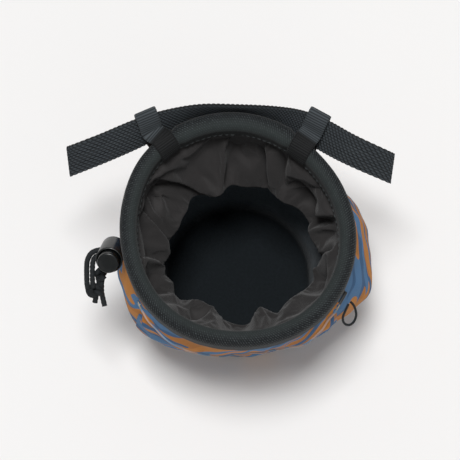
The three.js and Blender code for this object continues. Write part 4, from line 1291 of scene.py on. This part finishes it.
def add_node(finish, kind, inputs=None, **settings):
    """One node: its settings by name, and its inputs by name or number, as values or as links."""
    node = finish.node_tree.nodes.new(kind)
    for name, value in settings.items():
        setattr(node, name, value)
    for key, value in (inputs or {}).items():
        if isinstance(value, bpy.types.NodeSocket):
            finish.node_tree.links.new(value, node.inputs[key])
        else:
            node.inputs[key].default_value = value
    return node


def connect(finish, output, socket):
    finish.node_tree.links.new(output, socket)


def maths(finish, operation, a, b=0.0, clamp=False):
    return add_node(finish, "ShaderNodeMath", {0: a, 1: b}, operation=operation, use_clamp=clamp).outputs[0]


def blend_colours(finish, share, a, b, way="MIX"):
    node = add_node(finish, "ShaderNodeMix", data_type="RGBA", blend_type=way)
    for socket, value in ((node.inputs[0], share), (node.inputs[6], a), (node.inputs[7], b)):
        if isinstance(value, bpy.types.NodeSocket):
            connect(finish, value, socket)
        else:
            socket.default_value = value
    return node.outputs[2]


def cloth_place(finish, scale=(1, 1, 1), turn=0):
    """The piece's UV map, in metres of cloth times the scale."""
    where = add_node(finish, "ShaderNodeTexCoord")
    mapped = add_node(finish, "ShaderNodeMapping", {"Vector": where.outputs["UV"], "Scale": scale,
                                                   "Rotation": (0, 0, math.radians(turn))})
    return mapped.outputs["Vector"]


def object_place(finish, scale=1):
    where = add_node(finish, "ShaderNodeTexCoord")
    return add_node(finish, "ShaderNodeMapping", {"Vector": where.outputs["Object"],
                                                 "Scale": (scale, scale, scale)}).outputs["Vector"]


def weave(finish, pitch, turn=0):
    """Height of a plain weave with threads `pitch` millimetres apart."""
    per_metre = 1 / (pitch * MM)
    place = cloth_place(finish, (per_metre, per_metre, 1), turn)
    parts = add_node(finish, "ShaderNodeSeparateXYZ", {0: place})
    waves = []
    for axis, other in ((0, 1), (1, 0)):
        thread = maths(finish, "SINE", maths(finish, "MULTIPLY", parts.outputs[axis], math.tau))
        over = maths(finish, "SINE", maths(finish, "MULTIPLY", parts.outputs[other], math.pi))
        waves.append(maths(finish, "MULTIPLY", thread, maths(finish, "ABSOLUTE", over)))
    return maths(finish, "MAXIMUM", *waves)


def raise_surface(finish, shader, height, distance, strength=0.6):
    settings = {"Height": height, "Distance": distance * MM, "Strength": strength}
    bump = add_node(finish, "ShaderNodeBump", settings)
    connect(finish, bump.outputs["Normal"], shader.inputs["Normal"])


def cloudy(finish, size, detail=3):
    """Slow noise from 0 to 1, with patches about `size` millimetres across."""
    settings = {"Vector": object_place(finish, 1), "Scale": 1 / (size * MM), "Detail": detail}
    return add_node(finish, "ShaderNodeTexNoise", settings).outputs["Fac"]


def ramp(finish, value, low, high, to_low=0.0, to_high=1.0):
    """A value between `low` and `high`, spread over the range from `to_low` to `to_high`."""
    settings = {"Value": value, "From Min": low, "From Max": high, "To Min": to_low, "To Max": to_high}
    return add_node(finish, "ShaderNodeMapRange", settings).outputs[0]


# %% [markdown]
# The print is long strokes of two colours. Two slow noises, stretched along the strokes and bent by a third,
# give a general pattern of its own. Each noise is cut off sharply, because a printed colour has a clean edge.
# %% Printed cloth
def printed(name, painted_highlight):
    """Long strokes of two colours. The second argument is how far the colours are painted paler, as a painted
    highlight on a rounded edge.
    """
    finish, shader = new_finish(name, 0.7)
    flat_place = cloth_place(finish, turn=52)
    flow = add_node(finish, "ShaderNodeTexNoise", {"Vector": flat_place, "Scale": 38.0, "Detail": 0.5},
                    noise_dimensions="2D")
    bending = {0: flow.outputs["Color"], 1: (0.02, 0.02, 0), 2: flat_place}
    bent = add_node(finish, "ShaderNodeVectorMath", bending, operation="MULTIPLY_ADD")
    shares = []
    for scale, shift in (((135, 26, 1), (0, 0, 0)), ((150, 34, 1), (7, 3, 0))):
        long_place = add_node(finish, "ShaderNodeMapping", {"Vector": bent.outputs[0], "Scale": scale,
                                                            "Location": shift})
        strokes = add_node(finish, "ShaderNodeTexNoise", {"Vector": long_place.outputs[0], "Scale": 1.0,
                                                          "Detail": 0.0}, noise_dimensions="2D")
        shares.append(strokes.outputs["Fac"])
    orange = ramp(finish, shares[0], 0.515, 0.525)
    deep = ramp(finish, shares[1], 0.54, 0.56)
    blue = blend_colours(finish, deep, from_hex("5078a0"), from_hex("3a5f86"))
    half_deep = maths(finish, "MULTIPLY", deep, 0.5)
    amber = blend_colours(finish, half_deep, from_hex("c27f36"), from_hex("a4672b"))
    two_tone = blend_colours(finish, orange, blue, amber)
    wear = maths(finish, "MULTIPLY", cloudy(finish, 18), 0.18)
    worn = blend_colours(finish, wear, two_tone, from_hex("2b3a4c"))
    # Painted highlight: the colours are painted paler, for the lit roundness of the rolled edge.
    with_painted_highlight = blend_colours(finish, painted_highlight, worn, from_hex("a9bccb"))
    # Painted shade: where the relief is low, under the flap's edge, the print is painted nearly black.
    hollow = add_node(finish, "ShaderNodeAttribute", attribute_name="relief").outputs["Fac"]
    connect(finish, blend_colours(finish, hollow, from_hex("101822"), with_painted_highlight), shader.inputs["Base Color"])
    raise_surface(finish, shader, weave(finish, 0.7), 0.12)
    return finish


print_cloth = printed("printed polyester", 0.0)
print_edge = printed("rubbed print on the rolled edge", 0.38)
print("two finishes with the print")

# %% [markdown]
# Skirt, tapes, webbing, ribbon and cord are dyed polyester and nylon in near-black greys. They differ in
# thread, sheen and in how deep their relief is, so one function makes them all.
# %% Dark cloths
def dark_cloth(name, code, pale, pitch, roughness, height=0.1, turn=0, sheen=0.2):
    """Painted shade darkens the hollows of a piece's relief, and a painted highlight pales the tops of its threads."""
    finish, shader = new_finish(name, roughness, sheen)
    threads = weave(finish, pitch, turn)
    relief = add_node(finish, "ShaderNodeAttribute", attribute_name="relief").outputs["Fac"]
    clouded = blend_colours(finish, cloudy(finish, 12), from_hex(code), from_hex(pale))
    # Painted shade: the hollows of the relief are painted nearly black.
    mottled_and_shaded = blend_colours(finish, relief, (0.003, 0.003, 0.003, 1), clouded)
    half_relief = maths(finish, "MULTIPLY", relief, 0.5)
    shown = maths(finish, "MULTIPLY", maths(finish, "ABSOLUTE", threads), half_relief)
    # Painted highlight: the tops of the raised threads are painted paler.
    lit = blend_colours(finish, shown, mottled_and_shaded, from_hex(pale))
    connect(finish, lit, shader.inputs["Base Color"])
    raise_surface(finish, shader, threads, height)
    return finish


skirt_cloth = dark_cloth("thin nylon", "292828", "353333", 0.45, 0.6, 0.05, sheen=0.12)
tape_cloth = dark_cloth("zip tape polyester", "17191b", "222527", 0.8, 0.8)
base_cloth = dark_cloth("coated base cloth", "202326", "2b2f33", 0.9, 0.7)
webbing_yarn = dark_cloth("belt webbing yarn", "30353a", "464c50", 0.5, 0.6, 0.06, 45, sheen=0.08)
ribbon_yarn = dark_cloth("ribbed ribbon", "33383c", "474d51", 0.45, 0.6, 0.05, sheen=0.08)
cord_yarn = dark_cloth("braided cord", "181a1c", "26292b", 0.6, 0.7, 0.06, 45, sheen=0.03)
print("six dark cloths")

# %% [markdown]
# The rim's tape is a slanted twill. On the outer half each float of yarn catches the light as a pale fleck,
# about 1.45 mm apart, and the half that turns inside is plainer. The two halves differ partly in the weave
# itself and partly by painted light: the inner half is painted a paler grey as a painted highlight on the top,
# the outer half darker as painted shade where it turns away, and the inner leg nearly black as painted shade.
# %% Rim tape
rim_tape, shader = new_finish("twill rim tape", 0.8, 0.08)
parts = add_node(rim_tape, "ShaderNodeSeparateXYZ", {0: cloth_place(rim_tape, (1 / MM, 1 / MM, 1))})
along, across = parts.outputs[0], parts.outputs[1]
slanted = maths(rim_tape, "ADD", along, maths(rim_tape, "MULTIPLY", across, 0.75))
twill = maths(rim_tape, "SINE", maths(rim_tape, "MULTIPLY", slanted, math.tau / 1.45))
cross_row = maths(rim_tape, "SINE", maths(rim_tape, "MULTIPLY", across, math.tau / 1.1))
patches = maths(rim_tape, "SUBTRACT", cloudy(rim_tape, 1.2, 2), 0.3)
broken = maths(rim_tape, "MULTIPLY", patches, 2.6, clamp=True)
floats = maths(rim_tape, "MAXIMUM", twill, 0.0)
dots = maths(rim_tape, "MULTIPLY", floats, maths(rim_tape, "MAXIMUM", cross_row, 0.25))
dots = maths(rim_tape, "MULTIPLY", dots, broken)
outside = ramp(rim_tape, across, 18.0, 14.5)
# Partly painted light: the inner half is painted paler as a painted highlight on the top, and the outer half darker as
# painted shade where it turns away.
shade = blend_colours(rim_tape, outside, from_hex("2c3131"), from_hex("17191b"))
strength = ramp(rim_tape, outside, 0.0, 1.0, 0.3, 0.75)
flecked = blend_colours(rim_tape, maths(rim_tape, "MULTIPLY", dots, strength), shade, from_hex("6e7678"))
# Painted shade: the inner leg under the arch is painted nearly black.
inner_leg_painted_shade = ramp(rim_tape, across, 20.5, 23.5)
shaded = blend_colours(rim_tape, maths(rim_tape, "MULTIPLY", inner_leg_painted_shade, 0.75), flecked, from_hex("070909"))
clouds = maths(rim_tape, "MULTIPLY", cloudy(rim_tape, 9), 0.3)
mottled_and_shaded = blend_colours(rim_tape, clouds, shaded, from_hex("131617"))
connect(rim_tape, mottled_and_shaded, shader.inputs["Base Color"])
raise_surface(rim_tape, shader, dots, 0.22)
print("rim tape with twill every 1.45 mm")

# %% [markdown]
# The fleece is dyed black. Its wall is painted paler than its floor, as painted light, because so little light
# comes down to it that one colour would read as two. Plastic and painted metal are smooth with a rubbed sheen.
# %% Fleece, plastic, metal and thread
fleece_pile, shader = new_finish("black fleece", 1.0, 0.1)
pile = cloudy(fleece_pile, 1.5, 6)
height = add_node(fleece_pile, "ShaderNodeSeparateXYZ", {0: object_place(fleece_pile)}).outputs[2]
# Painted light: above the floor, the wall is painted paler, where little light reaches.
low = ramp(fleece_pile, height, 0.026, 0.01)
painted_light_wall_pile = blend_colours(fleece_pile, pile, from_hex("4e585f"), from_hex("646f77"))
floor_pile = blend_colours(fleece_pile, pile, from_hex("121618"), from_hex("1b2024"))
connect(fleece_pile, blend_colours(fleece_pile, low, painted_light_wall_pile, floor_pile), shader.inputs["Base Color"])
raise_surface(fleece_pile, shader, pile, 1.0)


def plastic(name, code, pale, roughness):
    finish, shader = new_finish(name, roughness, shine=0.5)
    rubbed = cloudy(finish, 3, 5)
    colour = blend_colours(finish, rubbed, from_hex(code), from_hex(pale))
    connect(finish, colour, shader.inputs["Base Color"])
    rough = ramp(finish, rubbed, 0.0, 1.0, roughness - 0.08, roughness + 0.12)
    connect(finish, rough, shader.inputs["Roughness"])
    raise_surface(finish, shader, cloudy(finish, 0.4, 2), 0.02)
    return finish


dark_thread = dark_cloth("dark polyester thread", "2a2e2f", "434849", 0.4, 0.6, 0.05, 45)
pale_thread = dark_cloth("pale polyester thread", "9a8f7c", "b8ad99", 0.4, 0.6, 0.05, 45)
lock_plastic = plastic("black acetal", "090b0c", "111415", 0.3)
coil_plastic = plastic("black nylon coil", "141618", "202325", 0.45)
slider_metal = plastic("painted zinc", "15181a", "25282a", 0.42)

FINISHES = [
    (print_cloth, [wall, pocket, flap]), (print_edge, [rolled_edge]), (tape_cloth, [tape]),
    (base_cloth, [base]), (skirt_cloth, [skirt]), (fleece_pile, [fleece]), (rim_tape, [binding]),
    (webbing_yarn, [webbing]), (ribbon_yarn, loops), (lock_plastic, [barrel, button]),
    (cord_yarn, [strand_front, strand_rear, knot, pull]), (coil_plastic, [teeth]),
    (slider_metal, [slider]), (dark_thread, [seam_thread]), (pale_thread, tacks),
]
for finish, pieces in FINISHES:
    for piece in pieces:
        piece.data.materials.clear()
        piece.data.materials.append(finish)
print(len(FINISHES), "finishes given")

REPLACES = [
    (wall, "outer_shell"), (base, "base_panel"), (fleece, "fleece_lining"), (skirt, "closure_skirt"),
    (binding, "rim_binding"), (tape, "zip_tape"), (pocket, "pocket_panel"), (flap, "pocket_flap"),
    (rolled_edge, "flap_piping"), (slider, "zip_slider"), (pull, "zip_pull"), (webbing, "belt"),
    (loops[0], "belt_loop_left"), (loops[1], "belt_loop_right"), (barrel, "cord_lock_barrel"),
    (button, "cord_lock_button"), (strand_front, "drawcord_front"), (strand_rear, "drawcord_rear"),
    (knot, "drawcord_knot"),
]
for piece, node in REPLACES:
    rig.ride(piece, "lock_button" if piece is button else "bag")
    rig.replaces(piece, node)
for piece in (teeth, seam_thread, *tacks):
    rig.ride(piece, "bag")


def in_metres(points):
    return [list(point * MM) for point in points]


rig.cord(strand_front, in_metres(front_line)[0], front_length * MM, DRAWCORD_DIAMETER * MM, "knot",
        stiffness="limp", lay="hanging", path=in_metres(front_line), with_pieces=[knot])
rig.cord(strand_rear, in_metres(rear_line)[0], rear_length * MM, DRAWCORD_DIAMETER * MM, "knot",
        stiffness="limp", lay="hanging", path=in_metres(rear_line))
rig.cord(pull, in_metres(pull_line)[0], pull_length * MM, PULL_DIAMETER * MM, "object",
        stiffness="stiff", lay="loose", path=in_metres(pull_line))
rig.sheet(skirt, (0.352, 0.062), "gathered", rests_on=[binding])

# %% [markdown]
# ## Floor and light
# The bag stands on a pale floor in soft light from above and behind, so its shadow falls a little towards
# the picture's lower edge.
# %% Floor and light
bpy.ops.object.select_all(action="DESELECT")
bpy.ops.mesh.primitive_plane_add(size=6, location=(0, 0, -0.0002))
floor = bpy.context.object
floor.name = "studio_floor"
floor_finish, shader = new_finish("white paper", 0.9)
shade = add_node(floor_finish, "ShaderNodeTexNoise", {"Vector": object_place(floor_finish), "Scale": 2.0})
paper = blend_colours(floor_finish, shade.outputs["Fac"], from_hex("ecebea"), from_hex("e8e7e6"))
connect(floor_finish, paper, shader.inputs["Base Color"])
floor.data.materials.append(floor_finish)


def soft_light(name, place, target, size, power):
    bpy.ops.object.select_all(action="DESELECT")
    bpy.ops.object.light_add(type="AREA", location=place)
    light = bpy.context.object
    light.name = name
    light.data.size = size
    light.data.energy = power
    light.rotation_mode = "QUATERNION"
    light.rotation_quaternion = (Vector(place) - Vector(target)).to_track_quat("Z", "Y")
    return light


key = soft_light("light_above_behind", (-0.15, 0.14, 3.0), (0, 0, 0.1), 0.7, 76)
fill = soft_light("light_front_low", (0.6, -1.1, 0.9), (0, 0, 0.1), 1.2, 1.5)
world = bpy.data.worlds.new("studio_air")
bpy.context.scene.world = world
world.use_nodes = True
world.node_tree.nodes["Background"].inputs["Color"].default_value = (0.99, 0.995, 1.0, 1)
world.node_tree.nodes["Background"].inputs["Strength"].default_value = 0.28
bpy.context.scene.view_settings.view_transform = "Standard"
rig.stage(floor, key, fill)

dressed_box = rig.bounds()
with open("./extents.json", "w") as size_file:
    json.dump({"solids": [list(c) for c in cad_box], "dressed": [list(c) for c in dressed_box]}, size_file)
print("dressed box", [[round(x / MM, 1) for x in corner] for corner in dressed_box])
